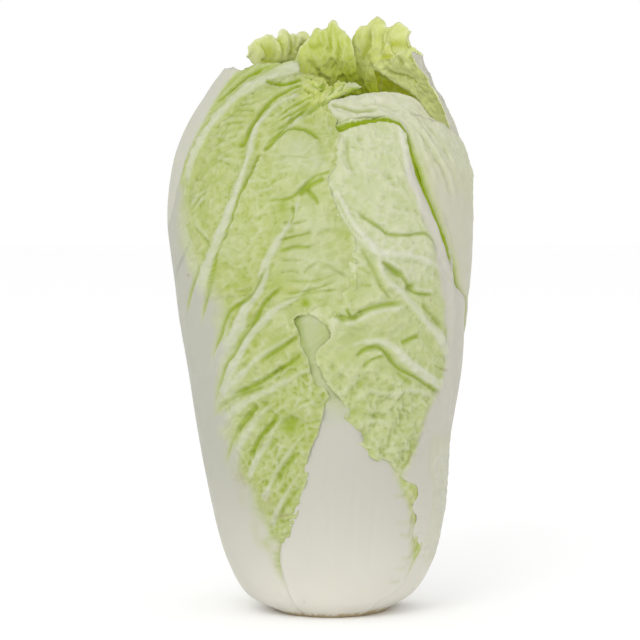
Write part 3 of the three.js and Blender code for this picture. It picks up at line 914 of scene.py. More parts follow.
for way in (line((-18, 169), (-12, 174.8), (-5.8, 180.8), (4.5, 184.4)), line((-5, 179), (4.5, 175),
        (11.4, 171.6)), line((-25, 191), (-15, 193), (-7, 196)), line((-25, 185), (-15, 187.6),
        (-7, 188.8))):
    rib(left_front, way, 1.2, 0.6, pale=0.4, ends=(0.2, 0.3))
left_front.tell("left front leaf, folded above")

# %% [markdown]
# Lower down the veins run nearly across, with dark pockets between them, and the thin margin
# is crimped where it meets the stalks. At the low tip it has begun to dry, in brown lines.

# %% Left front leaf: folds of the lower half
crease(left_front, line((-51.5, 110), (-36, 116.5), (-26.5, 123), (-18, 128.5), (-12, 134)), 1.1, 1.6)
for way, half, height in ((line((-3, 126), (-15.5, 121.5), (-26.5, 116), (-37.5, 110), (-48.5, 102.5),
        (-58, 93)), 2.0, 1.5), (line((-12, 146), (-22, 139), (-34, 131), (-44, 122), (-54, 112)), 1.6, 1.0),
        (line((-18, 101), (-25, 98.5), (-30.5, 89.5), (-36, 80), (-41, 70)), 1.4, 1.0),
        (line((-25, 109), (-33, 103), (-41, 92), (-48.5, 79)), 1.7, 1.1), (line((-12, 92), (-20, 84),
        (-27, 73), (-34, 58)), 1.2, 0.8), (line((-12, 76), (-18, 68), (-24, 58), (-30, 44)), 1.2, 0.7)):
    rib(left_front, way, [0.5 * half, half, 1.2 * half], height, pale=0.3, ends=(0.1, 0.25))
    band(left_front, way, [0.4 * half, 0.9 * half, 1.4 * half], [0.5, 0.8, 0.95], soft=1.1, ends=(0.1, 0.05))
crease(left_front, line((-14, 142), (-25, 134.5), (-36, 127)), 0.9, 1.2, deep=0.9)
crease(left_front, line((-35.5, 106.5), (-41, 100), (-47, 92)), 1.0, 1.2)
crease(left_front, line((-24, 104), (-30.5, 95.5), (-36.5, 88.5), (-41, 78)), 1.1, 1.4)
pillow(left_front, seen(-20, 96), 6, -2.0, deep=0.9)
pillow(left_front, seen(-11, 106), 8, 1.4)
pillow(left_front, seen(-22, 83), 7, 1.2)
crease(left_front, line((-14, 84), (-22, 76), (-28, 66)), 1.3, 1.2, deep=0.8)
crease(left_front, line((-15, 66), (-21, 58), (-26, 50)), 1.2, 0.9, deep=0.7)
stroke_family(crease, left_front, line((-17, 53), (-27, 50)), line((-23, 26), (-30, 24)), 11, 0.7, 0.55,
              deep=0.5, ends=(0.05, 0.5))
crinkled = left_blade * beyond(left_front, line((-70, 104), (0, 140)), soft=10)
net(left_front, 6, 0.5, crinkled, lean=25, width=0.8, pale=0.35, deep=0.3, seed=13)
swell(left_front, 7, 0.6, crinkled, seed=14)
pillow(left_front, seen(-12.5, 157.5), 2.8, -0.8, deep=1.0)
speck(left_front, seen(-70.8, 171.4), 0.7)
stain(left_front, line((-46, 70), (-43, 67.5), (-39, 66.5), (-35, 63)), 1.3, 0.4)
stain(left_front, line((-51, 74), (-43, 68), (-36, 62)), 5, 0.2)
stain(left_front, line((-37, 64), (-28, 54), (-24, 46)), 3.5, 0.18)
stain(left_front, line((-20, 52), (-24, 51), (-28, 52)), 0.9, 0.4)
pillow(left_front, seen(0.5, 150.5), 1.6, -0.3, deep=0.8)
frill(left_front, 5, 0.8, 11, where=beyond(left_front, line((-4, 4), (-4, 150), (6, 240)), soft=6))
left_front.tell("left front leaf, finished")

# %% [markdown]
# ## The right front leaf
#
# Its midrib is the long pale ridge right of the middle, and from it the big veins fan up and
# left under the left leaf. The lower margin hangs free: thin, jagged and strongly blistered.
# Two deep slits part it from the leaf that laps over it, so those are drawn as clefts.

# %% Right front leaf: margins and midrib
RIGHT_OVERLAP = np.concatenate([line((19, 5), (23.5, 7.5), (31, 11.5), (37, 17), (39.5, 22), (41.5, 27),
    (44, 31.5), (46.6, 35.5), (42.8, 40.5), (43.2, 46), (44.8, 49.6), (43, 52.6), (42.6, 56.8),
    (45.6, 60.8), (44.4, 66), (38.5, 68.4), (32, 74.5), (23.5, 79), (14.5, 85.5), (12.5, 92), (7, 97),
    (8, 102.5), (6, 108), (0.5, 113.5), (-3.5, 121), (-7.5, 131), (0.5, 140.5), (-2.5, 147)),
    [[-14, 7], [-22, 8.6], [-14, 10.0], [0, 10.8]]])
RIGHT_OVERLAP[0, 1] = 0
RIGHT_SIDE = [[128, 0], [128, 1.6], [130, 3], [130, 4.6], [124, 5.6], [110, 6.8], [94, 7.8], [78, 8.8],
    [60, 9.8], [40, 10.6]]
right_front = Skin(RIGHT_OVERLAP, RIGHT_SIDE, seed=23, ragged=(1.0, 0, 0), cell=CELL * 1.05)
SLIT = line((64, 166), (62, 177), (58.2, 189), (54, 200.5), (49.5, 213), (46.6, 221.5), (43, 231.5),
    (40, 240.5), (36.8, 246.6), (30.5, 250.2), (24, 251), (17, 250), (10, 248), (3, 246.8), (-4, 245.5))
SIDE_MARGIN = np.concatenate([[[104, 0], [108, 2], [108, 4], [104, 5.4], [96, 6.2], [86, 6.8]], SLIT])
under_side = beyond(right_front, SIDE_MARGIN, soft=3.5, shift=3.2)
under_left = beyond(right_front, LEFT_OVERLAP[14:], side=-1, soft=4, shift=5)
right_white = beyond(right_front, line((36, 60), (39.5, 76), (43.5, 86), (48, 96), (53, 107), (57.5, 118),
    (59, 134), (59, 150), (57, 166), (53, 182), (46, 200), (39.5, 222), (35, 240)), soft=3.0, wander=2.0)
right_white = np.maximum(right_white, 1 - beyond(right_front, line((60, 92), (50, 84), (42, 73), (38, 67),
    (30, 60)), side=1, soft=1.5, wander=1.5))
low_strip = 1 - beyond(right_front, line((50, 100), (52, 84), (53, 60), (50, 36), (46, 20)), soft=3.5,
    wander=2)
low_strip *= smoothstep(20, 32, right_front.base[..., 2]) * (1 - smoothstep(80, 96, right_front.base[..., 2]))
right_white *= 1 - 0.45 * low_strip
right_white *= 1 - smoothstep(222, 238, right_front.base[..., 2]) * beyond(right_front, SLIT[4:9], side=-1,
    soft=2)
right_front.white = right_white
right_blade = (1 - right_white) * (1 - under_side)
swell(right_front, 34, 1.2, seed=1)
swell(right_front, 13, 0.7, right_blade, seed=2)
net(right_front, 12, 0.5, right_blade, lean=-30, stretch=1.5, width=1.2, pale=0.12, seed=3)
net(right_front, 5, 0.28, right_blade, lean=-30, stretch=1.3, width=0.6, pale=0.16, seed=7)
net(right_front, 2.9, 0.15, right_blade, lean=-20, stretch=1.3, width=0.45, pale=0.12, deep=0.25, seed=8)
pale_top = beyond(right_front, line((0, 176), (24, 172), (60, 160)), side=-1, soft=14, wander=6)
right_front.vein = np.maximum((0.3 + 0.22 * pale_top) * right_blade, 0.9 * low_strip)
RIGHT_RIB = line((33.5, 249), (37, 237.5), (40.5, 224.5), (44, 214), (47, 205.5), (52, 196.5),
    (55.5, 186.5), (58.5, 176), (61.5, 166.5), (62.5, 148.5), (61.5, 134), (61, 119), (60, 100), (55, 60))
rib(right_front, RIGHT_RIB, [1.3, 1.8, 2.2, 3.0, 4.2, 5.5], [0.8, 1.4, 1.8, 2.0, 1.6, 0.7], pale=0.5,
    ends=(0.04, 0.25))
band(right_front, RIGHT_RIB[:9], [1.6, 2.0, 2.2, 2.6, 3.4], 0.95, soft=0.9, ends=(0.04, 0))
# Painted shade fills both slits, with a little painted light.
cleft(right_front, line((38.8, 245), (41, 238.5), (43.8, 231), (47.2, 221), (50.2, 212.7), (54.6, 199.2),
    (58.4, 188), (61.8, 176)), [0.8, 1.9, 2.7, 2.9, 2.4, 1.7, 0.8], 1.6, glow=0.06)
cleft(right_front, line((1, 245.3), (6, 246), (12, 247), (18.5, 248.8), (25, 249.6), (31, 249), (36, 246.6),
    (39, 243)), [2.4, 1.7, 1.4, 1.3, 1.1, 0.9], 1.6, glow=0.02, ends=(0, 0.02))
pillow(right_front, seen(5, 246), 3.5, -2.0, deep=1.0)
right_front.tell("right front leaf, with its midrib")

# %% [markdown]
# Two great veins cross the blade here. Each is a pale ridge with a furrow of painted shade below it.

# %% Right front leaf: veins
GREAT_VEIN = line((0.8, 217.5), (4, 211.5), (6.6, 205.5), (9.6, 199.8), (14.8, 192), (20, 186.5),
    (25, 183.5), (33, 182), (42, 180.3), (51, 177.2), (58, 173), (62, 168))
rib(right_front, GREAT_VEIN, [1.2, 1.9, 2.2, 1.8, 1.7, 2.0], [0.7, 1.7, 1.9, 1.6, 1.5, 1.4], pale=0.4,
    ends=(0.06, 0.05))
band(right_front, GREAT_VEIN, [1.4, 2.1, 2.4, 2.0, 1.8, 2.2], [0.7, 0.9, 0.9, 0.8, 0.8], soft=0.9,
    ends=(0.06, 0.05))
NEXT_VEIN = line((23.5, 182.5), (26, 173), (31.5, 167), (37.5, 161.5), (43.5, 154.5), (50, 147),
    (56.5, 140), (61, 130))
rib(right_front, NEXT_VEIN, [1.9, 1.7, 2.2, 2.6], [1.6, 1.6, 1.8, 1.6], pale=0.4, ends=(0, 0.08))
band(right_front, NEXT_VEIN, [1.6, 2.0, 2.6, 3.4], [0.7, 0.75, 0.8, 0.8], soft=1.1, ends=(0, 0.05))
for way, half, height in ((line((18.4, 207.2), (25, 204.5), (32, 203), (41.5, 202), (49, 199)), 1.2, 1.0),
        (line((19.5, 205), (26.5, 194.5), (27.5, 186)), 1.0, 0.7), (line((28, 225.5), (35, 223.5),
        (42, 220.5)), 1.1, 0.7), (line((5, 242.5), (5, 231.5), (10, 219), (13, 209)), 1.6, 1.1),
        (line((11, 244), (15, 235), (18, 224), (19.5, 212)), 1.0, 0.7), (line((24, 244), (29, 230),
        (36, 216), (43, 206)), 1.0, 0.4), (line((28, 171), (36, 169), (44, 166.5), (53, 160)), 0.9, 0.5)):
    rib(right_front, way, half, height, pale=0.3, ends=(0.15, 0.2))
    band(right_front, way, half, 0.6, soft=1.0, ends=(0.2, 0.2))
for x, z, size in ((15.5, 240, 2.0), (2.5, 235, 2.2), (9.5, 218.5, 2.2), (31, 221, 1.8), (-1, 226, 2.2)):
    pillow(right_front, seen(x, z), size, -0.8, deep=0.55)
crease(right_front, line((9, 243), (9.5, 231), (13.5, 221)), 0.9, 0.8, deep=0.6)
crease(right_front, line((13.2, 203.5), (19.5, 198.2), (25, 195.7), (28.9, 192.4), (39.4, 191.8),
    (48.8, 191.5), (53, 186.3), (54.8, 181)), 0.8, 1.2, deep=0.95, ends=(0.1, 0.1))
pillow(right_front, seen(16.5, 200.5), 2.2, -0.8, deep=0.8)
step(right_front, line((25.5, 178.5), (32.5, 175), (39.4, 168.5), (43.6, 163.6), (49.9, 162), (55, 161.5)),
    1.3, 6, side=-1, ramp=0.6, deep=1.0, ends=(0.05, 0.2))
crease(right_front, line((27, 177), (32.5, 173.5), (37, 169.5)), 1.4, 1.0)
crease(right_front, line((2, 214), (6, 204.5), (12, 194), (19, 186.5)), 0.6, 0.8, deep=0.7)
pillow(right_front, seen(41.5, 165.5), 2.8, -1.8, deep=1.0)
pillow(right_front, seen(36, 172), 5, 0.8)
crease(right_front, line((14, 188), (21, 176), (27, 164), (34, 157)), 1.0, 0.9, deep=0.7)
crease(right_front, line((36, 136), (40.5, 139), (47, 141.5)), 1.3, 1.1)
crease(right_front, line((46, 158), (53, 150), (58, 144)), 1.2, 0.9, deep=0.7)
stroke_family(crease, right_front, line((14, 168), (22, 166)), line((16, 180), (21, 178)), 3, 0.9, 0.6,
    deep=0.7)
right_front.tell("right front leaf, with its veins")

# %% [markdown]
# Under the great veins a flap of the same leaf folds back, and its blisters stand out like
# netting. It is the brightest and most crinkled part of the whole head.

# %% Right front leaf: the folded flap
step(right_front, line((0, 151), (8, 149), (12, 148.5), (18, 152), (26.5, 154.5), (37, 157), (42, 158)),
    [1.6, 2.2, 1.4], 9, side=1, ends=(0.05, 0.25))
pillow(right_front, seen(13, 140), 9, -1.8, deep=0.5)
pillow(right_front, seen(6.5, 148.5), 2.6, -1.2, deep=0.9)
crease(right_front, line((7.5, 156.5), (9.5, 152.5), (11.5, 149.5), (15, 151), (18.5, 152.8)), 0.9, 1.3)
LOW_VEIN = line((10, 136), (18, 137.5), (25, 138.5), (31, 136), (38, 129.8), (46, 123), (53, 118.5),
    (60, 114))
rib(right_front, LOW_VEIN, [1.2, 2.0, 2.6, 3.0], [0.8, 1.4, 1.6, 1.2], pale=0.4, ends=(0.1, 0.1), groove=0.1)
band(right_front, LOW_VEIN, [1.0, 2.2, 2.8, 3.2], 0.8, soft=1.3)
crease(right_front, line((12.5, 128), (15.5, 132), (20, 134), (25, 134.6), (28.6, 132.3), (32, 128),
    (36.2, 124.2), (45.8, 118.5), (51.5, 115.6), (58.2, 110.9)), [1.0, 1.1, 0.9, 0.7], [1.4, 1.5, 1.2, 0.9],
    ends=(0.08, 0.1))
crease(right_front, line((16, 123.5), (19.5, 128), (25, 130.2), (29.8, 129.8)), 0.8, 0.9, deep=0.9)
crease(right_front, line((34, 124), (38, 120), (44, 117)), 1.6, 0.8, deep=0.8)
crease(right_front, line((53, 126.5), (57, 124.5), (60, 123.3)), 0.5, 0.5, deep=0.7)
stain(right_front, line((51, 117), (52.5, 113.5), (54, 110)), 0.8, 0.35)
stain(right_front, line((56.5, 125), (59, 124), (61, 123)), 0.6, 0.4)
rib(right_front, line((20, 113), (31, 111.5), (38.5, 113), (48, 113), (58, 106)), 1.2, 0.9, pale=0.5)
rib(right_front, line((14, 98), (28, 98), (42, 96), (54, 90)), 1.1, 0.8, pale=0.45)
rib(right_front, line((28, 82), (38, 84), (50, 80)), 1.0, 0.7, pale=0.45)
right_front.tell("right front leaf, with its flap")

# %% [markdown]
# Three nets of different sizes lie over one another in the blistered patch, and pockets and
# swellings are set one by one where the leaf is most crumpled. A single net looks like knitting.

# %% Right front leaf: the blistered patch
blister = right_blade * beyond(right_front, line((-10, 128), (14, 126), (34, 118), (58, 106)), soft=4)
net(right_front, 7, 0.7, blister, lean=-50, stretch=1.5, width=1.0, pale=0.4, deep=0.45, seed=17)
net(right_front, 3.6, 0.35, blister, lean=30, stretch=1.4, width=0.5, pale=0.34, deep=0.25, seed=19)
net(right_front, 2.2, 0.15, blister, width=0.4, pale=0.2, deep=0.2, seed=21)
for x, z, size, deep in ((16, 117, 2.6, 0.8), (17, 108, 2.4, 0.7), (12, 103, 2.8, 0.8), (24, 100, 3, 0.6),
        (11, 112, 2.2, 0.7), (27, 108, 2, 0.5), (38, 104, 2, 0.5), (20, 92, 2.2, 0.4), (43, 97, 1.8, 0.5)):
    pillow(right_front, seen(x, z), size, -0.7, deep=deep)
for x, z, size in ((22, 124, 4), (31, 117, 3.4), (22, 104, 3), (33, 101, 3.4), (27, 92, 3.5), (35, 86, 3.5),
        (40, 92, 2.6), (16, 96, 2.6)):
    pillow(right_front, seen(x, z), size, 0.9, pale=0.3)
swell(right_front, 8, 0.8, blister, seed=22)
frill(right_front, 5, 0.8, 9, where=blister)
stroke_family(crease, right_front, line((45, 62), (52, 63)), line((44, 30), (50, 29)), 7, 0.7, 0.5,
    deep=0.3, ends=(0.05, 0.5))
step(right_front, line((48, 94), (46, 87.4), (41.2, 83.8), (40, 78.4), (35.2, 73)), 0.9, 5, side=-1,
    deep=0.7, ends=(0.1, 0.1))
stain(right_front, line((45, 88), (41.2, 83.8), (40, 79), (37, 75)), 0.8, 0.4)
stain(right_front, line((50.8, 116), (50.2, 112.5), (49.8, 108)), 0.7, 0.4)
stain(right_front, line((50, 101), (49.5, 98.5), (48.8, 95)), 0.7, 0.4)
for x, z, size in ((52, 219.8, 0.5), (41.5, 187.3, 0.5), (51.4, 158, 0.5), (51.4, 151.2, 0.45)):
    speck(right_front, seen(x, z), size)
right_front.tell("right front leaf, finished")

# %% [markdown]
# ## The right back leaf and the right outer leaf
#
# The right back leaf is the biggest. Its margin runs up the right side of the head with one
# notch in it, and at the top its green inner side faces the front over the hollow. In front
# of it lies the right outer leaf. Only its smooth white back shows, from the side round to a
# broad flap that laps over the top of the right front leaf. A dark slit is left between the
# flap's margin and the rib.
#
# A leaf at the back of the head is white only as far as its stalk goes. Higher up its blade
# is green on both sides, and `rear_blade` says where.

# %% Right back leaf
RIGHT_BACK_MARGIN = np.concatenate([[[112, 0], [108, 3], [104, 5], [98, 7], [91, 8], [88, 8.5], [93, 8.7]],
    line((66.5, 237), (63.8, 241), (60.8, 245.5), (57, 254.4), (52.8, 262.6), (48.9, 269.6), (46, 273.7),
    (42.8, 279), (40.8, 283))])
RIGHT_BACK_FAR = [[199, 0], [203, 3], [213, 5], [226, 7], [234, 9], [226, 11], [206, 12.2], [180, 12.6]]
right_back = Skin(RIGHT_BACK_MARGIN, RIGHT_BACK_FAR, tip=[[92, 12.3], [106, 12.5], [120, 12.8], [138, 12.9],
    [158, 12.8]], seed=61, ragged=(0.5, 0, 1.2), cell=CELL * 1.4, fine_above=0.72)
stalk(right_back, [[152, 0], [154, 4], [158, 8], [152, 12]], [30, 32, 22, 8], 1.6)


def rear_blade(skin):
    """1 on the upper part of a leaf at the back of the head, where its blade is green."""
    height = skin.level + 0.9 * noise(skin.a / 14, skin.b / 14, skin.seed + 90)
    return smoothstep(122, 150, abs(skin.turn)) * smoothstep(4.5, 8.5, height)


right_back.white = np.maximum(right_back.white, 0.85 * (1 - rear_blade(right_back)))
swell(right_back, 36, 1.4, seed=1)
branches(right_back, [[152, 2], [155, 6], [154, 12]], 6, 52, 2.4, 1.8, 0.9)
net(right_back, 11, 0.45, 1 - right_back.white, width=0.9, pale=0.3, seed=3)
right_back.tell("right back leaf, its outer side")

# %% [markdown]
# Its inner side is drawn over the hollow: pale folds at the top, a rounded pale edge that runs
# down to the right, and under that the hollow in painted shade, a deep olive, with painted light
# for what comes through the leaf. A height here has the other sign, because what stands out on
# the inner side is sunk on the outer one.

# %% Right back leaf: the inner side over the hollow
HOLLOW_EDGE = behind((14, 277), (22, 275.5), (32.5, 270.5), (38, 268.3), (42, 265.5), (46, 262), (50, 257),
    (54, 251.2), (58, 247))
rib(right_back, HOLLOW_EDGE, [1.4, 1.8, 1.2], [-1.6, -1.4, -0.6], pale=0.5, ends=(0, 0), groove=0)
crease(right_back, behind((27, 274.5), (32.5, 273.3), (41.9, 271.5), (46.6, 267.8), (50.1, 262.6),
    (54, 255)), 0.8, -1.0, deep=0.9, ends=(0.1, 0.3))
net(right_back, 5, 0.6, smoothstep(9.5, 11, right_back.level), width=0.7, pale=0.5, seed=9)
swell(right_back, 7, 0.8, smoothstep(9.5, 11, right_back.level), seed=10)
for x, z, size, height in ((34, 279, 3.5, -1.8), (42, 276, 3, -1.6), (47, 266.5, 2.4, -1.0), (38, 283, 3,
        -1.4)):
    pillow(right_back, seen(x, z, BACK), size, height, pale=0.7)
for way in (behind((33, 285), (37, 280), (40, 275.5)), behind((41, 282), (44.5, 277), (46.5, 273.5)),
            behind((27, 282), (31, 279), (33, 276.5))):
    crease(right_back, way, 0.9, -0.8, deep=0.8)
# Painted shade of the hollow under the pale edge, and painted light on the inner side's top and in the
# hollow.
olive = beyond(right_back, HOLLOW_EDGE, side=-1, soft=1.0, shift=1.0) * smoothstep(8.2, 9.0, right_back.level)
olive *= smoothstep(-185, -170, -right_back.turn)
right_back.crease = np.maximum(right_back.crease, olive)
inner_top = smoothstep(8.8, 9.8, right_back.level) * smoothstep(-175, -150, -right_back.turn)
right_back.glow = np.maximum(inner_top, olive)
right_back.tell("right back leaf, finished")

# %% [markdown]
# The right outer leaf's margin is tucked under at the slit, and its top is folded forward as
# a lip. The lip needs the strong grip that the skin offers, or it would pull the whole flap up.

# %% Right outer leaf
SIDE_BACK = np.concatenate([[[150, 0], [156, 3], [168, 6], [172, 7], [170, 7.8], [150, 8.7], [126, 9.2],
    [106, 9.5], [90, 9.7], [80, 9.78]], line((61.3, 243), (57.1, 245.4), (53, 248.3), (49.5, 251.4),
    (46.6, 255.2), (43.6, 258.6), (40, 261), (33, 262.8))])
SIDE_LIP = line((-5, 250), (-3, 255.5), (4, 259.3), (10, 260.8), (17, 262.2), (25.5, 263))
right_outer = Skin(SIDE_MARGIN, SIDE_BACK, tip=SIDE_LIP, seed=37, ragged=(0.3, 0.4, 0.4), cell=CELL * 1.2,
    grip=12)
side_blade = beyond(right_outer, line((30, 236), (50, 225), (70, 205)), side=-1, soft=14, wander=3)
# The tucked margin and the blade by the slit get painted shade: less white and a stronger green.
tucked = smoothstep(5.6, 7.0, right_outer.level) * np.exp(-((right_outer.from_left / 1.7) ** 2))
by_slit = np.exp(-((right_outer.from_left / 5) ** 2)) * smoothstep(6.8, 7.6, right_outer.level)
right_outer.white = (1 - 0.8 * side_blade) * (1 - 0.6 * by_slit) * (1 - tucked)
right_outer.white *= 1 - 0.8 * rear_blade(right_outer)
right_outer.crease = np.maximum(tucked, 0.3 * by_slit)
right_outer.vein = 0.62 * side_blade * (1 - tucked)
swell(right_outer, 36, 1.0, seed=1)
swell(right_outer, 13, 0.6, seed=2)
net(right_outer, 9, 0.35, side_blade, lean=-40, stretch=1.8, width=1.2, pale=0.1, deep=0.2, seed=3)
net(right_outer, 4, 0.22, side_blade, lean=-40, stretch=1.5, width=0.6, pale=0.3, deep=0.2, seed=5)
for way, half, height in ((line((43, 249), (50, 238.5), (56.5, 228), (62, 214), (66, 196)), 1.6, 1.2),
        (line((52, 243), (59, 234), (64, 222)), 1.3, 0.9), (line((34, 255), (42, 249), (46, 240), (51, 226),
        (55, 212)), 1.4, 1.0), (line((8, 257.5), (18, 259.5), (28, 260), (37, 257)), 1.4, 0.7)):
    rib(right_outer, way, half, height, pale=0.5, ends=(0.2, 0.3))
for way in (line((39, 250), (47.5, 239.5), (54, 229.5), (59, 219), (61.5, 209)), line((49, 247), (56, 238),
        (61, 228)), line((14, 256.5), (24, 256.8), (33, 254.2)), line((57, 205), (61, 194), (63.5, 180))):
    crease(right_outer, way, 1.2, 0.9, deep=0.35)
crease(right_outer, line((1, 256), (7, 255), (13, 253.6), (21, 254), (28, 255)), 1.1, 1.4, deep=0.9,
    ends=(0, 0.35))
pillow(right_outer, seen(10, 257.8), 4, 1.2, pale=0.4)
pillow(right_outer, seen(24, 258.5), 8, 2.0, pale=0.75)
pillow(right_outer, seen(38, 255.5), 7, 1.4, pale=0.7)
pillow(right_outer, seen(8, 251), 3, 1.0)
pillow(right_outer, seen(3.5, 248.5), 3, -1.6, deep=1.0)
for turn, level, size, height in ((88, 8.9, 7, 1.0), (90, 8.62, 2.2, -1.8), (90, 8.45, 2.0, 0.7)):
    pillow(right_outer, (turn, level), size, height)
for way in (line((50, 247), (55, 238), (59, 229), (62, 220)), line((56, 243), (61, 235), (65, 226)),
            line((44, 250), (47, 240), (50, 230), (53, 218))):
    crease(right_outer, way, 0.5, 0.5, deep=0.3, ends=(0.3, 0.4))
swell(right_outer, 5, 0.35, seed=4)
branches(right_outer, [[112, 2], [120, 6], [118, 10]], 4, 40, 2.2, 1.6, 0.6, first=0.35)
stalk(right_outer, [[112, 0], [116, 4], [120, 8], [118, 11]], [24, 22, 10, 3], 1.4)
right_outer.tell("right outer leaf")

# %% [markdown]
# ## The middle front leaf
#
# It lies under both front leaves, and its broad white stalk fills the gap between them. The
# stalk is rounded, almost smooth, and narrows to a neck where the front leaves cross.

# %% Middle front leaf
CENTRE_LEFT = [[-52, 0], [-54, 3], [-66, 6], [-70, 9], [-54, 10.6], [-34, 11.6]]
CENTRE_RIGHT = [[56, 0], [62, 3], [80, 6], [84, 9], [70, 10.6], [44, 11.6]]
centre_front = Skin(CENTRE_LEFT, CENTRE_RIGHT, seed=41, ragged=(0, 0, 0), cell=CELL * 1.5)
swell(centre_front, 30, 0.5, seed=1)
stalk(centre_front, line((4, 2), (9, 30), (8, 60), (3, 90), (-4, 115), (-9, 135), (-10, 152)),
      [34, 38, 36, 26, 13, 7, 6], 0.9, soft=4)
# Where the front leaves cross over the neck, their shade is painted on it: less white and a darker green,
# lighter to the right.
neck = smoothstep(96, 122, centre_front.base[..., 2] + 3 * noise(centre_front.a / 6, centre_front.b / 9, 5))
neck_right = beyond(centre_front, line((-20, 162), (-15, 141), (-10.8, 129), (-10.8, 118), (-10, 100)),
    soft=4.5, shift=6)
centre_front.white *= 1 - neck * (0.62 - 0.47 * neck_right)
centre_front.crease = neck * (0.5 - 0.4 * neck_right)
centre_blade = 1 - centre_front.white
net(centre_front, 11, 0.5, centre_blade, width=1.0, pale=0.4, seed=3)
# Painted shadow of the left front leaf's margin and fold on the stalk.
crease(centre_front, line((-18, 156), (-15.5, 145), (-13, 136), (-10.5, 129), (-9.5, 120), (-8.5, 110),
    (-7, 98)), [4.0, 3.0, 2.0, 2.2, 1.6], 0.8, deep=[1.0, 0.95, 0.9, 0.85, 0.5], ends=(0, 0.3))
crease(centre_front, line((-18, 153), (-8, 151.5), (4, 151)), 2.0, 0.4, deep=0.8, ends=(0, 0.3))
for way in (line((14, 72), (12, 45), (11, 20)), line((24, 62), (22, 40), (19, 18)), line((0, 78), (-1, 50),
        (0, 22)), line((-9, 60), (-10, 38), (-8, 18))):
    crease(centre_front, way, 1.3, 0.22, deep=0)
# A tan line along the right front leaf's lower margin: painted shadow of that margin, in the stain colour.
stain(centre_front, line((44, 66), (42, 60), (41, 54), (42.5, 47), (41.5, 41), (43, 36), (41, 30),
    (38, 22)), 1.4, 0.3, ends=(0.1, 0.3))
for x, z, length in ((38, 47, 5), (38, 41, 4), (37, 60, 6), (39, 29, 4), (36, 24, 4), (33, 17, 4)):
    way = line((x - length, z + 0.6), (x, z), (x + 3, z + 0.4))
    crease(centre_front, way, 0.6, 0.3, deep=0.5, ends=(0.4, 0.1), through=0.25)
stain(centre_front, line((-14.6, 11), (-13.5, 8.5), (-13, 6.5)), 0.7, 0.5)
centre_under = np.maximum(beyond(centre_front, LEFT_OVERLAP, side=-1, soft=4, shift=5), beyond(centre_front,
    RIGHT_OVERLAP, soft=4, shift=5))
centre_front.tell("middle front leaf")

# %% [markdown]
# ## The left back leaf
#
# It wraps the far left. Its white back makes the head's left outline, and inside its margin a
# strip of yellow-green shows between it and the midrib of the left front leaf.

# %% Left back leaf
BACK_LEFT = [[-168, 0], [-164, 3], [-178, 5], [-194, 7], [-202, 9], [-196, 10.8], [-172, 11.6], [-140, 11.4]]
BACK_LEFT_FRONT = np.concatenate([[[-96, 0], [-94, 3], [-88, 5], [-78, 6.6]], line((-66, 186), (-66, 198),
    (-64, 210), (-60, 222), (-53, 236), (-45, 250), (-36, 262), (-26, 271), (-21, 276.5))])
BACK_LEFT_TIP = np.concatenate([[[-118, 11.4], [-102, 11.6]], line(
    (-49.6, 275.2), (-45.5, 274.7), (-42, 276), (-38.4, 277.3), (-33, 277.8), (-25, 278))])
left_back = Skin(BACK_LEFT, BACK_LEFT_FRONT, tip=BACK_LEFT_TIP, seed=53, ragged=(0, 0.6, 0.5),
    cell=CELL * 1.5)
left_strip = beyond(left_back, line((-77, 203), (-75.8, 216), (-72.8, 229), (-68, 241.3), (-63.3, 250.5),
    (-57.8, 260.5), (-52, 268.5), (-47.5, 273.3), (-43, 276.5)), soft=1.1, wander=0.5)
left_covered = beyond(left_back, LEFT_EDGE, soft=3, shift=2)
stalk(left_back, [[-132, 0], [-134, 4], [-134, 8], [-126, 11]], [34, 36, 26, 12], 1.6)
left_back.white = np.maximum(left_back.white, 0.95 * (1 - rear_blade(left_back))) * (1 - left_strip)
# Painted shade in the strip, where it dips under the left front leaf's midrib.
left_back.crease = 0.45 * left_strip
stroke_family(crease, left_back, line((-58, 258), (-50, 266), (-40, 272.5)), line((-52, 262), (-40, 273),
    (-27, 277)), 3, 0.9, 0.8, deep=1.0, ends=(0.1, 0.1))
crease(left_back, line((-72.2, 222), (-67.7, 233), (-62.7, 243), (-57.6, 252), (-51, 261), (-44, 267),
    (-37, 271.5), (-31, 274)), 1.4, 1.0, ends=(0.1, 0.1))
pillow(left_back, seen(-47.7, 274.8), 1.8, 1.8)
swell(left_back, 34, 1.0, 1 - left_strip, seed=1)
branches(left_back, [[-132, 2], [-134, 6], [-128, 11]], 6, 44, 2.2, 1.7, 0.9)
net(left_back, 10, 0.4, 1 - left_back.white, width=0.9, pale=0.4, seed=3)
left_back.tell("left back leaf")

# %% [markdown]
# ## The back leaf and the three crest leaves
#
# At the back a broad leaf closes the head. Inside it stand three leaves that rise above the
# others. Their tips are thin, pale yellow-green and frilled into rounded lobes, and they lean
# forward over the hollow at the top of the head.

# %% Back leaf
back_wrap = Skin([[150, 0], [142, 3], [124, 6], [122, 8], [144, 9.6], [166, 11.2]], [[234, 0], [242, 3],
    [262, 6], [262, 9], [246, 11], [222, 12.1]], tip=[[180, 12.4], [204, 12.6]], seed=71, ragged=(0, 0,
    1.5), cell=CELL * 1.6)
stalk(back_wrap, [[192, 0], [192, 5], [192, 9], [192, 12]], [30, 30, 16, 5], 1.4)
branches(back_wrap, [[192, 2], [192, 7], [192, 12.4]], 6, 52, 2.4, 1.8, 0.9)
net(back_wrap, 11, 0.5, 1 - back_wrap.white, width=0.9, pale=0.45, seed=3)
back_wrap.tell("back leaf")

# %% [markdown]
# The crest leaves rise through the middle of the head, so they stand well in front of the back
# wall, and their tips turn back to the light. A rim is a row of rounded lobes. Each lobe is
# cupped, and a crease runs down from the notch between it and the next.

# %% Crest leaves: where they stand
WHOLE_TURN = np.array([360, 0])
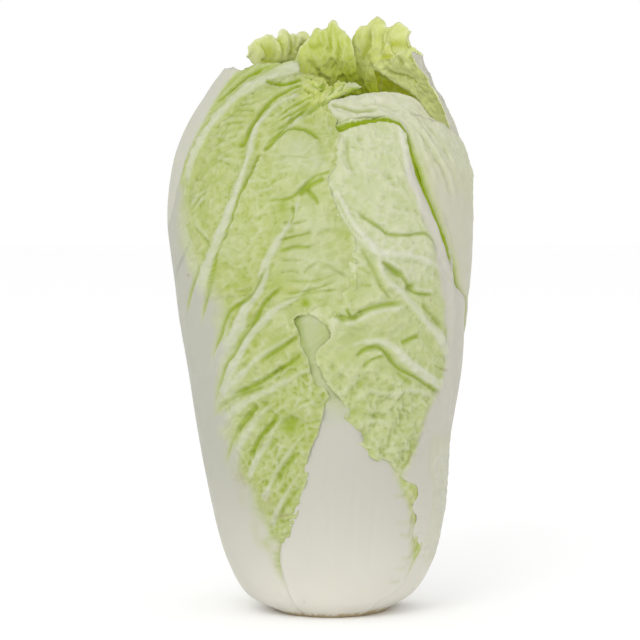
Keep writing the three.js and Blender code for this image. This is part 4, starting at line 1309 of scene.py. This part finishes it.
# How far each leaf lies inside the back wall, and how far it comes forward, in mm.
CREST_STANDS = {"left_crest_leaf": (4.5, 22), "middle_crest_leaf": (9.0, 40), "right_crest_leaf": (7.5, 30)}
# The middle of each lobe, its top and its half width, in mm as the eye sees them.
CREST_LOBES = {
    "left_crest_leaf": [
        (-33.4, 290.4, 8.4), (-24.2, 293.0, 4.2), (-18.6, 291.6, 2.4), (-13.8, 292.9, 4.0),
        (-10.2, 290.2, 2.0)],
    "middle_crest_leaf": [
        (-11.5, 287.5, 3.2), (-6.3, 294.8, 2.6), (-2.2, 294.2, 2.4), (1.8, 298.4, 2.7), (6, 293.5, 2.8),
        (8.8, 289, 2.4)],
    "right_crest_leaf": [
        (13.6, 291.5, 2.2), (17.6, 295.6, 3.0), (24.2, 299.4, 4.6), (31, 295.4, 3.4), (36.8, 295.8, 4.0)],
}


def come_forward(points, level, reach):
    """The back of a leaf comes forward as it rises, and its tip turns back a little."""
    share = smoothstep(3, 9, level) * (1 - 0.22 * smoothstep(12.2, 15, level))
    moved = points.copy()
    moved[..., 1] -= reach * share * smoothstep(-5, 40, points[..., 1])
    return moved


def crest_wall(name):
    """The places on a crest leaf's own wall, for drawing on it."""
    inset, reach = CREST_STANDS[name]

    def shape(turn, level):
        return come_forward(on_head(turn, level) - inset * outward(turn, level), level, reach)

    return looked_at(100, 256, 9, shape)


def arch(x, middle, top, half):
    """The height of a rounded lobe at x. Past its half width it falls away steeply."""
    round_part = np.sqrt(np.maximum(1 - ((x - middle) / half) ** 2, 0))
    return top - 1.1 * half * (1 - round_part) - np.maximum(abs(x - middle) - half, 0)


def lobed_rim(lobes, wall):
    """The rim over a row of lobes: rounded arches that meet in notches."""
    x = np.arange(lobes[0][0] - lobes[0][2], lobes[-1][0] + lobes[-1][2], 0.5)
    return behind(*zip(x, np.max([arch(x, *lobe) for lobe in lobes], axis=0)), wall=wall)


WALLS = {name: crest_wall(name) for name in CREST_STANDS}
RIMS = {name: lobed_rim(lobes, WALLS[name]) for name, lobes in CREST_LOBES.items()}
print("points on the lobed rims:", [len(rim) for rim in RIMS.values()])

# %% [markdown]
# A crest leaf's foot is hidden, so its margins start as places on the head, low down, and go
# on as heights the eye sees. Turns on the left crest leaf are counted the other way round from
# the front, a whole turn less, so that its patch doesn't wrap round the head.

# %% Crest leaves: margins
# For each leaf: the foot and the top of one margin, then of the other.
CREST_EDGES = {
    "left_crest_leaf": (
        [[200, 0], [192, 3], [178, 6], [176, 8.5]], [(-2, 264), (-3, 274), (-5, 283), (-8, 288)],
        [[288, 0], [296, 3], [300, 6], [284, 8.5]], [(-28, 262), (-32, 268), (-38, 274), (-42, 279.5)]),
    "middle_crest_leaf": (
        [[134, 0], [126, 3], [120, 6], [130, 8.5]], [(16, 262), (14.5, 270), (12.5, 278), (11, 285)],
        [[226, 0], [234, 3], [240, 6], [232, 8.5]], [(-19, 262), (-18, 270), (-17, 277), (-14.8, 282.5)]),
    "right_crest_leaf": (
        [[90, 0], [90, 3], [104, 6], [122, 8.5]],
        [(25, 262), (22.5, 271), (22.5, 276.5), (25.5, 278.6), (31, 280), (37, 281.6), (40.4, 286.5)],
        [[172, 0], [180, 3], [194, 6], [192, 8.5]], [(3, 262), (5, 270), (8, 279), (11.3, 286)]),
}
OUTERMOST_TIP = {"left_crest_leaf": [(-36.6, 286.5)]}  # a corner past the last lobe


def turned_back(name):
    """What is taken off the turns of a leaf that is counted the other way round."""
    return WHOLE_TURN if name == "left_crest_leaf" else 0


CRESTS = {}
for k, (name, (low_right, high_right, low_left, high_left)) in enumerate(CREST_EDGES.items()):
    wall = WALLS[name]
    back = turned_back(name)
    tops = [(x, top - 1) for x, top, _ in CREST_LOBES[name][::-1]] + OUTERMOST_TIP.get(name, [])
    left = np.concatenate([low_right, behind(*high_right, wall=wall)]) - back
    right = np.concatenate([low_left, behind(*high_left, wall=wall)]) - back
    CRESTS[name] = Skin(left, right, tip=behind(*tops, wall=wall) - back, rim=RIMS[name] - back,
        seed=83 + 10 * k, cell=CELL * 1.35, fine_above=0.84, ragged=(0, 0, 0.5))
    CRESTS[name].tell(name + ", plain")

# %% [markdown]
# The strokes on the crest are drawn on its inner side, as it is seen over the front leaves, so
# a height here is towards the eye. The relief is turned over once they are all drawn.

# %% Crest leaves: where their folds are
# For each swelling: x, z, radius, height towards the eye, and paleness.
CREST_PILLOWS = {
    "left_crest_leaf": [
        (-26, 283, 11, 5, 0), (-33.5, 283, 5, -2.5, 0), (-29.5, 279.5, 3, 1.5, 0.2), (-23, 286, 3, 2, 0.2),
        (-14, 285.5, 1.6, -1.5, 0), (-17, 286, 2, 1.5, 0.2), (-17.5, 280, 2.5, 1.2, 0.2)],
    "middle_crest_leaf": [
        (-8, 281, 7, 3.5, 0.1), (-3, 290, 4, 2.5, 0.1), (3, 290, 4, 3, 0.1), (6.5, 285.5, 3, 2, 0),
        (-11, 270, 5, 2.5, 0.1), (-1, 285, 2, -1.2, 0), (2, 276, 4, -2.5, 0), (-5, 266, 3, 1.5, 0)],
    "right_crest_leaf": [
        (15, 288, 4, 3.5, 0.3), (24, 296, 4, 2, 0.2), (23, 286, 2, 1.2, 0), (34.5, 290, 5, 4.5, 0.35),
        (36, 284, 4, 3, 0.3), (30, 283, 3, 2.5, 0.3), (23.5, 278.5, 2.6, 3, 0.4), (28, 279.5, 2.5, 2, 0.3),
        (12, 279, 3, 1.5, 0.2)],
}
CREST_CREASES = {
    "left_crest_leaf": [
        [(-12.5, 289), (-14.2, 285.5), (-17, 281)], [(-38, 280), (-32, 278.5), (-26, 278), (-17, 280)],
        [(-28.2, 290), (-26.5, 286), (-26.8, 281)], [(-21, 290), (-20.5, 286), (-22, 281)],
        [(-36.5, 286.5), (-35, 282.5), (-33, 280)]],
    "middle_crest_leaf": [
        [(-12, 287.5), (-8.5, 285.5), (-4, 287), (-1, 284.8)], [(-1, 292), (0.5, 287), (-1.5, 281)],
        [(4.5, 290), (5, 285), (3.5, 279)], [(-14, 279.5), (-9, 277.5), (-5, 272), (-4, 266)]],
    "right_crest_leaf": [
        [(20.6, 295.5), (19.8, 290), (18.4, 284), (14.5, 277)], [(20, 293), (19, 287), (16.5, 281)],
        [(26.4, 293), (27, 289), (27, 284.5), (25.5, 281)],
        [(31.5, 288), (33, 285.5), (36.5, 286.5), (39, 285)], [(26, 281.5), (29, 280.6), (33, 281.5)]],
}
# Where the ribs and notches of a leaf's lobes run together.
CREST_FEET = {"left_crest_leaf": (-22, 274), "middle_crest_leaf": (3, 268), "right_crest_leaf": (19, 270)}
print("swellings and creases by hand:", [len(CREST_PILLOWS[n]) + len(CREST_CREASES[n]) for n in CRESTS])


# %% Crest leaves: lobes and folds
def draw_lobes(crest, lobes, foot, wall, back):
    """Cups each lobe, gives it a rib, and runs a crease down from the notch beside it."""
    for k, (x, top, half) in enumerate(lobes):
        pillow(crest, np.array(seen(x, top - 0.9 * half, wall)) - back, 0.95 * half, 0.55 * half, pale=0.3)
        way = [(1 - f) * np.array([x, top - 0.8]) + f * foot for f in (0, 0.25, 0.6)]
        rib(crest, behind(*way, wall=wall) - back, 0.55, 0.35, pale=0.45, ends=(0.05, 0.5), groove=0)
        if k > 0:
            last_x, last_top, last_half = lobes[k - 1]
            notch = np.array([(x - half + last_x + last_half) / 2, min(top, last_top) - 1.2])
            way = [(1 - f) * notch + f * foot for f in (0, 0.12, 0.3)]
            crease(crest, behind(*way, wall=wall) - back, 0.9, 0.8, deep=0.6, ends=(0, 0.7))


for name, crest in CRESTS.items():
    wall = WALLS[name]
    back = turned_back(name)
    middle_turn = crest.turn[0].mean()
    stalk(crest, [[middle_turn, 0], [middle_turn, 5], [middle_turn, 9]], [22, 18, 4], 1.0)
    shown_part = smoothstep(9.5, 11.5, crest.level)
    net(crest, 7.5, 0.6, 1 - crest.white, width=1.0, pale=0.2, stretch=1.6, seed=3)
    net(crest, 3.8, 0.55, shown_part, width=0.7, pale=0.35, deep=0.6, stretch=1.6, seed=6)
    swell(crest, 12, 1.0, shown_part, seed=4)
    swell(crest, 6, 0.7, shown_part, seed=5)
    for x, z, radius, height, pale in CREST_PILLOWS[name]:
        pillow(crest, np.array(seen(x, z, wall)) - back, radius, height, deep=0.9 * (height < 0), pale=pale)
    draw_lobes(crest, CREST_LOBES[name], np.array(CREST_FEET[name]), wall, back)
    for way in CREST_CREASES[name]:
        crease(crest, behind(*way, wall=wall) - back, [0.9, 1.5, 0.9], 1.5, deep=0.95, ends=(0.15, 0.25))
    crest.relief *= -1
    crest.tell(name + ", drawn")

# %% [markdown]
# Down in the hollow between the crest leaves lies painted shade, the deepest green, and painted
# light stands for what comes through the thin leaves from behind. Both fade upwards, more or
# less at the same height on all three leaves, so they are measured as the eye sees them.

# %% Crest leaves: the painted shade and light of the hollow
HOLLOW, HOLLOW_REACH = [12, 268], 15  # mm, its middle as the eye sees it, and its size
for name, crest in CRESTS.items():
    seen_at = drawing(come_forward(crest.base, crest.level, CREST_STANDS[name][1]))
    funnel = np.exp(-((np.linalg.norm(seen_at - HOLLOW, axis=-1) / HOLLOW_REACH) ** 4))
    height = seen_at[..., 1] + 1.5 * noise(crest.a / 5, crest.b / 5, 7)
    low_part = 0.5 * (1 - smoothstep(276, 286, height)) + 0.5 * (1 - smoothstep(268, 277, height))
    crest.crease = np.maximum(crest.crease, np.maximum(funnel, low_part))
    crest.glow = 0.25 + 0.45 * low_part * (1 - 0.6 * funnel)
    print(f"{name}: {crest.crease.mean():.0%} of it deep green")


def forward_bend(reach):
    """The move that brings a crest leaf's points forward."""
    def bend(points, skin, coarse):
        return come_forward(points, skin.level[::coarse, ::coarse], reach)

    return bend


# %% [markdown]
# ## The heart
#
# Seven leaves and a bud fill the middle. Each leaf stands 137.5 degrees round from the last,
# as leaves do on a stem, and is a little further in. Only their tips can be seen, down in the
# hollow, so they are lighter meshes.

# %% Heart leaves
HEART_LEAVES = 7
FIRST_TURN, NEXT_TURN = 20, 137.5  # degrees
HEART_SHARE, HEART_SHARE_STEP = 0.68, 0.045  # of the head's radius, for the first and between them
HEART_HALVES = [(0, 60), (3, 64), (6, 76), (9, 84), (10, 66)]  # level, and half the width in degrees
HEART_TIP = [(-40, 10.6), (-14, 10.9), (16, 10.8), (42, 10.5)]  # degrees from the middle, and level
HEARTS = {}
for k in range(HEART_LEAVES):
    middle = FIRST_TURN + NEXT_TURN * k
    left = [[middle - half, level] for level, half in HEART_HALVES]
    right = [[middle + half, level] for level, half in HEART_HALVES]
    heart = Skin(left, right, tip=[[middle + turn, level] for turn, level in HEART_TIP], seed=130 + 7 * k,
                 cell=CELL * 3.4, fine_above=0.75, ragged=(0, 0, 2.0))
    net(heart, 12, 0.8, width=1.4, pale=0.6, seed=3)
    frill(heart, 10, 1.6, 16, where=smoothstep(8, 10, heart.level), along=(1.0, 0.3))
    rib(heart, [[middle, 0], [middle, 6], [middle, 11]], [7, 4, 1.5], [2, 1.5, 0.8], ends=(0, 0.1))
    share = HEART_SHARE - HEART_SHARE_STEP * k + 0.06 * smoothstep(8, 11, heart.level)
    radius = np.linalg.norm(heart.base[..., :2], axis=-1)
    HEARTS[f"heart_leaf_{k + 1}"] = (heart, (1 - share) * radius)
last_share = HEART_SHARE - HEART_SHARE_STEP * (HEART_LEAVES - 1)
print(HEART_LEAVES, "heart leaves, the last at", round(last_share, 2), "of the head's radius")

# %% [markdown]
# ## Which leaf lies under which
#
# Every leaf was drawn on the same outline. To lie over one another, each goes in by an inset
# in mm, and it goes in further where another leaf covers it. A margin that ends against its
# neighbour is tucked in as well, so that it doesn't stand off like a card. That bends the
# leaves past each other without a collision to work out.

# %% Insets of the outer leaves
def near_margin(distance, reach, height, top, bottom):
    """1 on a margin low down on the head, and 0 above the top and away from the margin."""
    return np.exp(-((distance / reach) ** 2)) * (1 - smoothstep(bottom, top, height))


left_height, right_height = left_front.base[..., 2], right_front.base[..., 2]
left_foot_tuck = near_margin(left_front.from_right, 3, left_height, 44, 28)
left_low_edge = 0.5 * near_margin(left_front.from_right, 4, left_height, 160, 140)
right_foot_tuck = near_margin(right_front.from_left, 3, right_height, 34, 14)
side_under_left = beyond(right_outer, LEFT_OVERLAP[-13:], side=-1, soft=2, shift=0.5)
side_over_back = beyond(right_outer, RIGHT_BACK_MARGIN, soft=4, shift=5)
side_over_back *= 1 - smoothstep(7.6, 8.4, right_outer.level)
back_under_side = smoothstep(7.6, 8.4, right_back.level) * (1 - smoothstep(9.6, 10.1, right_back.level))
back_under_side *= np.exp(-((right_back.from_left / 14) ** 2))
right_of_middle = smoothstep(-5, 10, centre_front.base[..., 0])
# For each node: its piece, skin, thickness and inset in mm.
OUTER_LEAVES = {"left_front_leaf": ("left_front", left_front, 1.6, 2.6 * left_foot_tuck + left_low_edge),
    "right_front_leaf": ("right_front", right_front, 1.6, 1.0 + 3.4 * np.maximum(under_side, under_left)
    + 1.6 * right_foot_tuck), "right_outer_leaf": ("right_outer", right_outer, 1.8,
    0.4 + 2.2 * side_over_back + 2.2 * tucked + 2.4 * side_under_left),
    "centre_front_leaf": ("centre_front", centre_front, 2.2, 1.4 + 0.4 * right_of_middle + 5
    * centre_under), "left_back_leaf": ("left_back", left_back, 1.8, 0.4 + 2.6 * left_covered + 1.0
    * left_strip), "right_back_leaf": ("right_back", right_back, 1.8, 3.0 * back_under_side),
    "back_leaf": ("back_wrap", back_wrap, 1.8, 5.6), }
print("deepest insets:", {node: round(float(np.max(inset)), 1) for node, (*_, inset) in OUTER_LEAVES.items()})

# %% [markdown]
# Now each drawn skin becomes one closed sheet, which stands for its node in the CAD. The crest
# leaves stay fine on both sides, because both can be seen there.

# %% Make every leaf
pieces = {}
for node, (name, skin, thickness, inset) in OUTER_LEAVES.items():
    over_hollow = node == "right_back_leaf"  # its inner side shows, so that stays fine too
    pieces[node] = leaf(name, skin, thickness, inset, node,
        coarse=1 if over_hollow else COARSE, inner_white=1 - smoothstep(7, 10, skin.level),
        inside=("crease", "glow") if over_hollow else ())
for node, skin in CRESTS.items():
    inset, reach = CREST_STANDS[node]
    pieces[node] = leaf(node.removesuffix("_leaf"), skin, 1.0, inset, node, coarse=1,
        bend=forward_bend(reach), rim=(0.8, 1.8))
for node, (skin, inset) in HEARTS.items():
    pieces[node] = leaf(node.replace("_leaf", ""), skin, 1.0, inset, node, coarse=1)
print(len(pieces), "leaves made")

# %% [markdown]
# ## Colour of a leaf
#
# The blade is a thin yellow-green sheet, the veins and stalks are white, and where the leaf
# is creased it gets painted shade: a stronger green, for the shade there and the light that has
# gone through it several times. One node group works that out from the masks, and every leaf's
# material uses it.

# %% Node helpers
LIGHT = 1.25  # how much brighter than the surrounding the head is lit


def shown(r, g, b):
    """The colour of a surface that shows as r, g, b (from 0 to 255) in the studio's light."""
    c = np.array([r, g, b]) / 255
    return (*(np.where(c <= 0.04045, c / 12.92, ((c + 0.055) / 1.055) ** 2.4) / LIGHT), 1)


def new_node(tree, kind, **settings):
    """A node of that kind, with its settings."""
    node = tree.nodes.new(kind)
    for key, value in settings.items():
        setattr(node, key, value)
    return node


def feed(tree, socket, source):
    """Sets a socket to a value, or links it to an output."""
    if isinstance(source, bpy.types.NodeSocket):
        tree.links.new(source, socket)
    else:
        socket.default_value = source


def attribute(tree, name):
    """One of the masks that each leaf's mesh carries."""
    return new_node(tree, "ShaderNodeAttribute", attribute_name=name).outputs["Fac"]


def arithmetic(tree, operation, a, b=0.0, clamp=False):
    """The result of one step of arithmetic on values or outputs."""
    node = new_node(tree, "ShaderNodeMath", operation=operation, use_clamp=clamp)
    feed(tree, node.inputs[0], a)
    feed(tree, node.inputs[1], b)
    return node.outputs[0]


def less(tree, mask, share=1.0):
    """1 less a share of a mask."""
    return arithmetic(tree, "SUBTRACT", 1.0, arithmetic(tree, "MULTIPLY", mask, share))


def mixed(tree, share, a, b):
    """Colour a, turned into colour b by a share from 0 to 1."""
    node = new_node(tree, "ShaderNodeMix", data_type="RGBA")
    factor, first, second = node.inputs[0], node.inputs[6], node.inputs[7]  # the sockets for colours
    feed(tree, factor, share)
    feed(tree, first, a)
    feed(tree, second, b)
    return node.outputs[2]


def mottle(tree, scale, detail, low, high):
    """Noise from 0 to 1, in the object's own space. Scale is per metre."""
    place = new_node(tree, "ShaderNodeTexCoord").outputs["Object"]
    node = new_node(tree, "ShaderNodeTexNoise")
    feed(tree, node.inputs["Vector"], place)
    feed(tree, node.inputs["Scale"], scale)
    feed(tree, node.inputs["Detail"], detail)
    ramp = new_node(tree, "ShaderNodeMapRange", interpolation_type="SMOOTHSTEP")
    feed(tree, ramp.inputs["Value"], node.outputs["Fac"])
    feed(tree, ramp.inputs["From Min"], low)
    feed(tree, ramp.inputs["From Max"], high)
    return ramp.outputs["Result"]


print("the brightest a surface may be:", round(shown(255, 255, 255)[0], 2))

# %% [markdown]
# The masks say where each thing is, and the group says what colour it has there. The order
# matters: the mottled blade first, then the painted shade of its recesses, its veins with the
# painted highlight of raised folds and the web between them, the painted light that shows
# through, the white stalk over all that with painted light from the floor at its foot, and last
# the stains and the cut.


# %% Leaf colour group: the blade
BROAD_PATCHES, SMALL_PATCHES = 28, 190  # per metre, of younger colour on the blade
SUNK_SHARE, RAISED_SHARE = 0.75, 0.55  # how far the relief alone makes painted shade, or a painted highlight in the vein colour
CREASE_HIDES = 0.8  # of the vein colour
WEB_CELLS, WEB_THINNESS, WEB_SHARE = 420, 7.0, 0.05  # per metre; and of the vein colour
GLOW_SHARE = 0.85  # of the glow colour


def finest_veins(tree):
    """A faint web, from 0 to WEB_SHARE on a line."""
    cells = new_node(tree, "ShaderNodeTexVoronoi", feature="DISTANCE_TO_EDGE")
    feed(tree, cells.inputs["Vector"], new_node(tree, "ShaderNodeTexCoord").outputs["Object"])
    feed(tree, cells.inputs["Scale"], WEB_CELLS)
    away = arithmetic(tree, "MULTIPLY", cells.outputs["Distance"], WEB_THINNESS, clamp=True)
    return arithmetic(tree, "MULTIPLY", less(tree, away), WEB_SHARE)


def blade_colour(tree, given, web):
    """The green part of a leaf: its blade, the painted shade of its recesses, its veins and the painted
    highlight of raised folds, and the painted light through it.
    """
    patches = arithmetic(tree, "ADD", mottle(tree, BROAD_PATCHES, 3, 0.35, 0.68), mottle(tree,
        SMALL_PATCHES, 3, 0.35, 0.65))
    blade = mixed(tree, arithmetic(tree, "MULTIPLY", patches, 0.5), given["Blade"], given["Young blade"])
    # Painted shade in creases and in the relief's hollows.
    sunk = arithmetic(tree, "MULTIPLY", attribute(tree, "cavity"), SUNK_SHARE)
    recess = arithmetic(tree, "MAXIMUM", attribute(tree, "crease"), sunk)
    blade = mixed(tree, recess, blade, given["Recess"])
    # Painted highlight on the relief's raised folds, in the vein colour.
    raised = arithmetic(tree, "MULTIPLY", attribute(tree, "ridge"), RAISED_SHARE)
    pale = arithmetic(tree, "MAXIMUM", attribute(tree, "vein"), raised)
    pale = arithmetic(tree, "MULTIPLY", pale, less(tree, attribute(tree, "crease"), CREASE_HIDES))
    blade = mixed(tree, arithmetic(tree, "MAXIMUM", pale, web, clamp=True), blade, given["Vein"])
    glow = arithmetic(tree, "MULTIPLY", attribute(tree, "glow"), GLOW_SHARE)
    glow = arithmetic(tree, "MULTIPLY", glow, less(tree, attribute(tree, "crease")))
    return mixed(tree, glow, blade, given["Glow"])


# %% [markdown]
# The group also puts out a roughness, a height for the finest bumps and the colour of the
# light that comes through, which is black where none does. A cabbage leaf is waxy and dull,
# so its roughness is near the middle, with patches.

# %% Leaf colour group: the whole leaf
COLOURS = ("Blade", "Young blade", "Recess", "Vein", "Stalk", "Stalk foot", "Cut", "Glow", "Stain")
FOOT_PATCHES, DULL_PATCHES, GRAINS = 16, 120, 900  # per metre
ROUGHNESS, ROUGHNESS_SPREAD = 0.42, 0.16
WEB_HEIGHT, GRAIN_HEIGHT = 6.0, 0.35  # before the bump's own strength
STALK_SMOOTHNESS = 0.75
LIGHT_THROUGH = 0.38  # of the light that falls on a white surface


def leaf_colour_group():
    """The node group that every leaf's material uses."""
    tree = bpy.data.node_groups.new("leaf colour", "ShaderNodeTree")
    for name in COLOURS:
        tree.interface.new_socket(name, in_out="INPUT", socket_type="NodeSocketColor")
    for name in ("Colour", "Light through"):
        tree.interface.new_socket(name, in_out="OUTPUT", socket_type="NodeSocketColor")
    for name in ("Roughness", "Height"):
        tree.interface.new_socket(name, in_out="OUTPUT", socket_type="NodeSocketFloat")
    given = new_node(tree, "NodeGroupInput").outputs
    out = new_node(tree, "NodeGroupOutput").inputs
    web = finest_veins(tree)
    white = attribute(tree, "white")
    # Painted light from the floor: the stalk is lighter towards its foot.
    foot = arithmetic(tree, "MULTIPLY", attribute(tree, "low"), mottle(tree, FOOT_PATCHES, 2, 0.0, 0.5))
    whole = mixed(tree, white, blade_colour(tree, given, web),
                  mixed(tree, foot, given["Stalk"], given["Stalk foot"]))
    whole = mixed(tree, attribute(tree, "stain"), whole, given["Stain"])
    whole = mixed(tree, attribute(tree, "cut"), whole, given["Cut"])
    feed(tree, out["Colour"], whole)
    through = arithmetic(tree, "MULTIPLY", attribute(tree, "glow"), LIGHT_THROUGH)
    feed(tree, out["Light through"], mixed(tree, through, (0, 0, 0, 1), whole))
    grain = arithmetic(tree, "MULTIPLY", mottle(tree, GRAINS, 2, 0.3, 0.7), GRAIN_HEIGHT)
    height = arithmetic(tree, "ADD", arithmetic(tree, "MULTIPLY", web, WEB_HEIGHT), grain)
    feed(tree, out["Height"], arithmetic(tree, "MULTIPLY", height, less(tree, white, STALK_SMOOTHNESS)))
    dull = arithmetic(tree, "MULTIPLY", mottle(tree, DULL_PATCHES, 2, 0.3, 0.7), ROUGHNESS_SPREAD)
    feed(tree, out["Roughness"], arithmetic(tree, "ADD", ROUGHNESS, dull))
    return tree


LEAF_COLOUR = leaf_colour_group()
print("nodes in the group:", len(LEAF_COLOUR.nodes))

# %% [markdown]
# ## The leaves' materials
#
# A leaf's green depends on how old it is and how much light it had: the outer leaves are
# grey-green, the crest is yellower, and the heart is yellow. Each material is the plain leaf
# with a few colours changed. Light that comes through a thin leaf from behind is stood for by
# a faint emission in the leaf's own colour, since a closed sheet lets little light through.

# %% Leaf materials
# The recess colour is painted shade for creases and hollows, the stalk foot colour is painted light from the
# floor, and the glow colour is painted light through thin leaves.
PLAIN_LEAF = {
    "Blade": shown(182, 193, 106), "Young blade": shown(203, 209, 156), "Recess": shown(146, 168, 10),
    "Vein": shown(219, 220, 204), "Stalk": shown(188, 188, 174), "Stalk foot": shown(240, 236, 224),
    "Cut": shown(206, 188, 150), "Glow": shown(222, 228, 70), "Stain": shown(152, 130, 88)}
BUMP_STRENGTH, BUMP_DEPTH = 0.35, 0.0004  # the depth in m
SOFTNESS, SOFT_COLOURS, SOFT_DEPTH = 0.15, (1.0, 1.0, 0.35), 0.0006  # light spreads below the skin, in m
SHINE = 0.12


def leaf_material(name, changes):
    """A leaf's material: the plain leaf's colours, with changes by the name of the socket."""
    material = bpy.data.materials.new(name)
    material.use_nodes = True
    tree = material.node_tree
    shader = tree.nodes["Principled BSDF"]
    group = new_node(tree, "ShaderNodeGroup", node_tree=LEAF_COLOUR)
    for socket, colour in (PLAIN_LEAF | changes).items():
        group.inputs[socket].default_value = colour
    bump = new_node(tree, "ShaderNodeBump")
    feed(tree, bump.inputs["Strength"], BUMP_STRENGTH)
    feed(tree, bump.inputs["Distance"], BUMP_DEPTH)
    feed(tree, bump.inputs["Height"], group.outputs["Height"])
    feed(tree, shader.inputs["Base Color"], group.outputs["Colour"])
    feed(tree, shader.inputs["Roughness"], group.outputs["Roughness"])
    feed(tree, shader.inputs["Normal"], bump.outputs["Normal"])
    feed(tree, shader.inputs["Emission Color"], group.outputs["Light through"])
    feed(tree, shader.inputs["Emission Strength"], 1.0)
    feed(tree, shader.inputs["Subsurface Weight"], SOFTNESS)
    feed(tree, shader.inputs["Subsurface Radius"], SOFT_COLOURS)
    feed(tree, shader.inputs["Subsurface Scale"], SOFT_DEPTH)
    feed(tree, shader.inputs["Specular IOR Level"], SHINE)
    return material


# %% Which leaf has which material
# For each node: the material's name, and the colours in which it isn't the plain leaf.
LEAF_CHANGES = {
    "left_front_leaf": ("left front leaf", {
        "Blade": shown(177, 187, 103), "Young blade": shown(198, 205, 150), "Vein": shown(205, 208, 184)}),
    "right_front_leaf": ("front leaf with a white stalk", {"Stalk": shown(203, 201, 187)}),
    "centre_front_leaf": ("middle front leaf", {"Stalk": shown(197, 196, 184)}),
    "left_back_leaf": ("left back leaf", {"Stalk": shown(203, 202, 188)}),
    "right_outer_leaf": ("side leaf", {"Stalk": shown(206, 204, 184), "Young blade": shown(210, 213, 168)}),
    "right_back_leaf": ("back leaf", {
        "Stalk": shown(206, 204, 192), "Recess": shown(160, 170, 10), "Glow": shown(232, 238, 160)}),
    "back_leaf": ("outer leaf", {}),
    "left_crest_leaf": ("left crest leaf", {
        "Blade": shown(202, 211, 126), "Young blade": shown(216, 221, 168), "Recess": shown(172, 184, 0),
        "Glow": shown(228, 234, 150)}),
    "middle_crest_leaf": ("middle crest leaf", {
        "Blade": shown(168, 185, 70), "Young blade": shown(188, 201, 106), "Recess": shown(156, 172, 0)}),
    "right_crest_leaf": ("crest leaf", {
        "Blade": shown(192, 203, 104), "Young blade": shown(210, 216, 150), "Recess": shown(166, 178, 0)}),
}
HEART_MATERIAL = leaf_material("heart leaf", {
    "Blade": shown(190, 190, 60), "Young blade": shown(204, 204, 100), "Recess": shown(172, 176, 10)})
STEM_MATERIAL = leaf_material("cut stem", {})
for node, (name, changes) in LEAF_CHANGES.items():
    pieces[node].data.materials.append(leaf_material(name, changes))
for node in HEARTS:
    pieces[node].data.materials.append(HEART_MATERIAL)

# %% [markdown]
# The stem and the bud stay as they are in the CAD: the one is a plain cut core, and the other
# is closed in by the heart leaves. Both get a leaf's material.

# %% Stem and bud
for thing in bpy.context.scene.objects:
    if thing.type == "MESH" and thing not in pieces.values():
        thing.data.materials.clear()
        thing.data.materials.append(HEART_MATERIAL if "heart" in thing.name else STEM_MATERIAL)
        print(thing.name, "has the material", thing.data.materials[0].name)

# %% [markdown]
# ## Light, floor and eye
#
# A pale floor and a white surrounding, with a large soft light from the upper left, as in a
# plain studio. The eye stands where the drawing above was made from.

# %% Studio: light
scene = bpy.context.scene
scene.view_settings.view_transform = "Standard"
world = bpy.data.worlds.new("studio")
world.use_nodes = True
world.node_tree.nodes["Background"].inputs["Color"].default_value = (1, 1, 1, 1)
world.node_tree.nodes["Background"].inputs["Strength"].default_value = 1.0
scene.world = world


def facing(aim):
    """The turn of a light or an eye that looks along aim."""
    return Vector(aim).to_track_quat("-Z", "Y").to_euler()


def softbox(name, place, size, power):
    """A square area light that faces the head. Metres and watts."""
    light = bpy.data.lights.new(name, "AREA")
    light.size = size
    light.energy = power
    holder = bpy.data.objects.new(name, light)
    holder.location = place
    holder.rotation_euler = facing(np.array([0, 0, HEAD_HEIGHT / 2]) - np.array(place))
    scene.collection.objects.link(holder)


softbox("key", (-0.5, -1.2, 1.0), 0.8, 6)
softbox("low fill", (0.1, -1.5, 0.15), 1.0, 4)

# %% Studio: floor and eye
bpy.ops.mesh.primitive_plane_add(size=8, location=(0, 0, 0))
floor = bpy.context.active_object
floor.name = "floor"
floor_material = bpy.data.materials.new("floor")
floor_material.use_nodes = True
floor_shader = floor_material.node_tree.nodes["Principled BSDF"]
floor_shader.inputs["Base Color"].default_value = (0.985, 0.985, 0.985, 1)
floor_shader.inputs["Roughness"].default_value = 0.9
floor.data.materials.append(floor_material)
floor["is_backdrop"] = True

SENSOR_WIDTH = 36  # mm
VIEW_WIDTH = 323.7  # mm, how much the eye sees across at the head
eye = bpy.data.cameras.new("eye")
eye.lens = SENSOR_WIDTH * EYE_DISTANCE / VIEW_WIDTH
eye.sensor_width = SENSOR_WIDTH
eye_holder = bpy.data.objects.new("eye", eye)
eye_holder.location = (EYE_AIM - EYE_LOOK * EYE_DISTANCE) * MM
eye_holder.rotation_euler = facing(EYE_LOOK)
scene.collection.objects.link(eye_holder)
scene.camera = eye_holder
print(f"the eye has a lens of {eye.lens:.0f} mm, and it looks from {np.round(eye_holder.location, 2)} m")

# %% [markdown]
# ## The size, and the end
#
# The modelled leaves may stand a little past the CAD's box, at folds and at the crest. Both
# boxes are written down, so that it can be seen by how much.

# %% Size, and the end
NEW_BOX = [list(corner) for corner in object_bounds()]
for name, box in (("before", CAD_BOX), ("after", NEW_BOX)):
    print("box", name + ", in mm:", np.round(np.array(box) * 1000, 1).tolist())
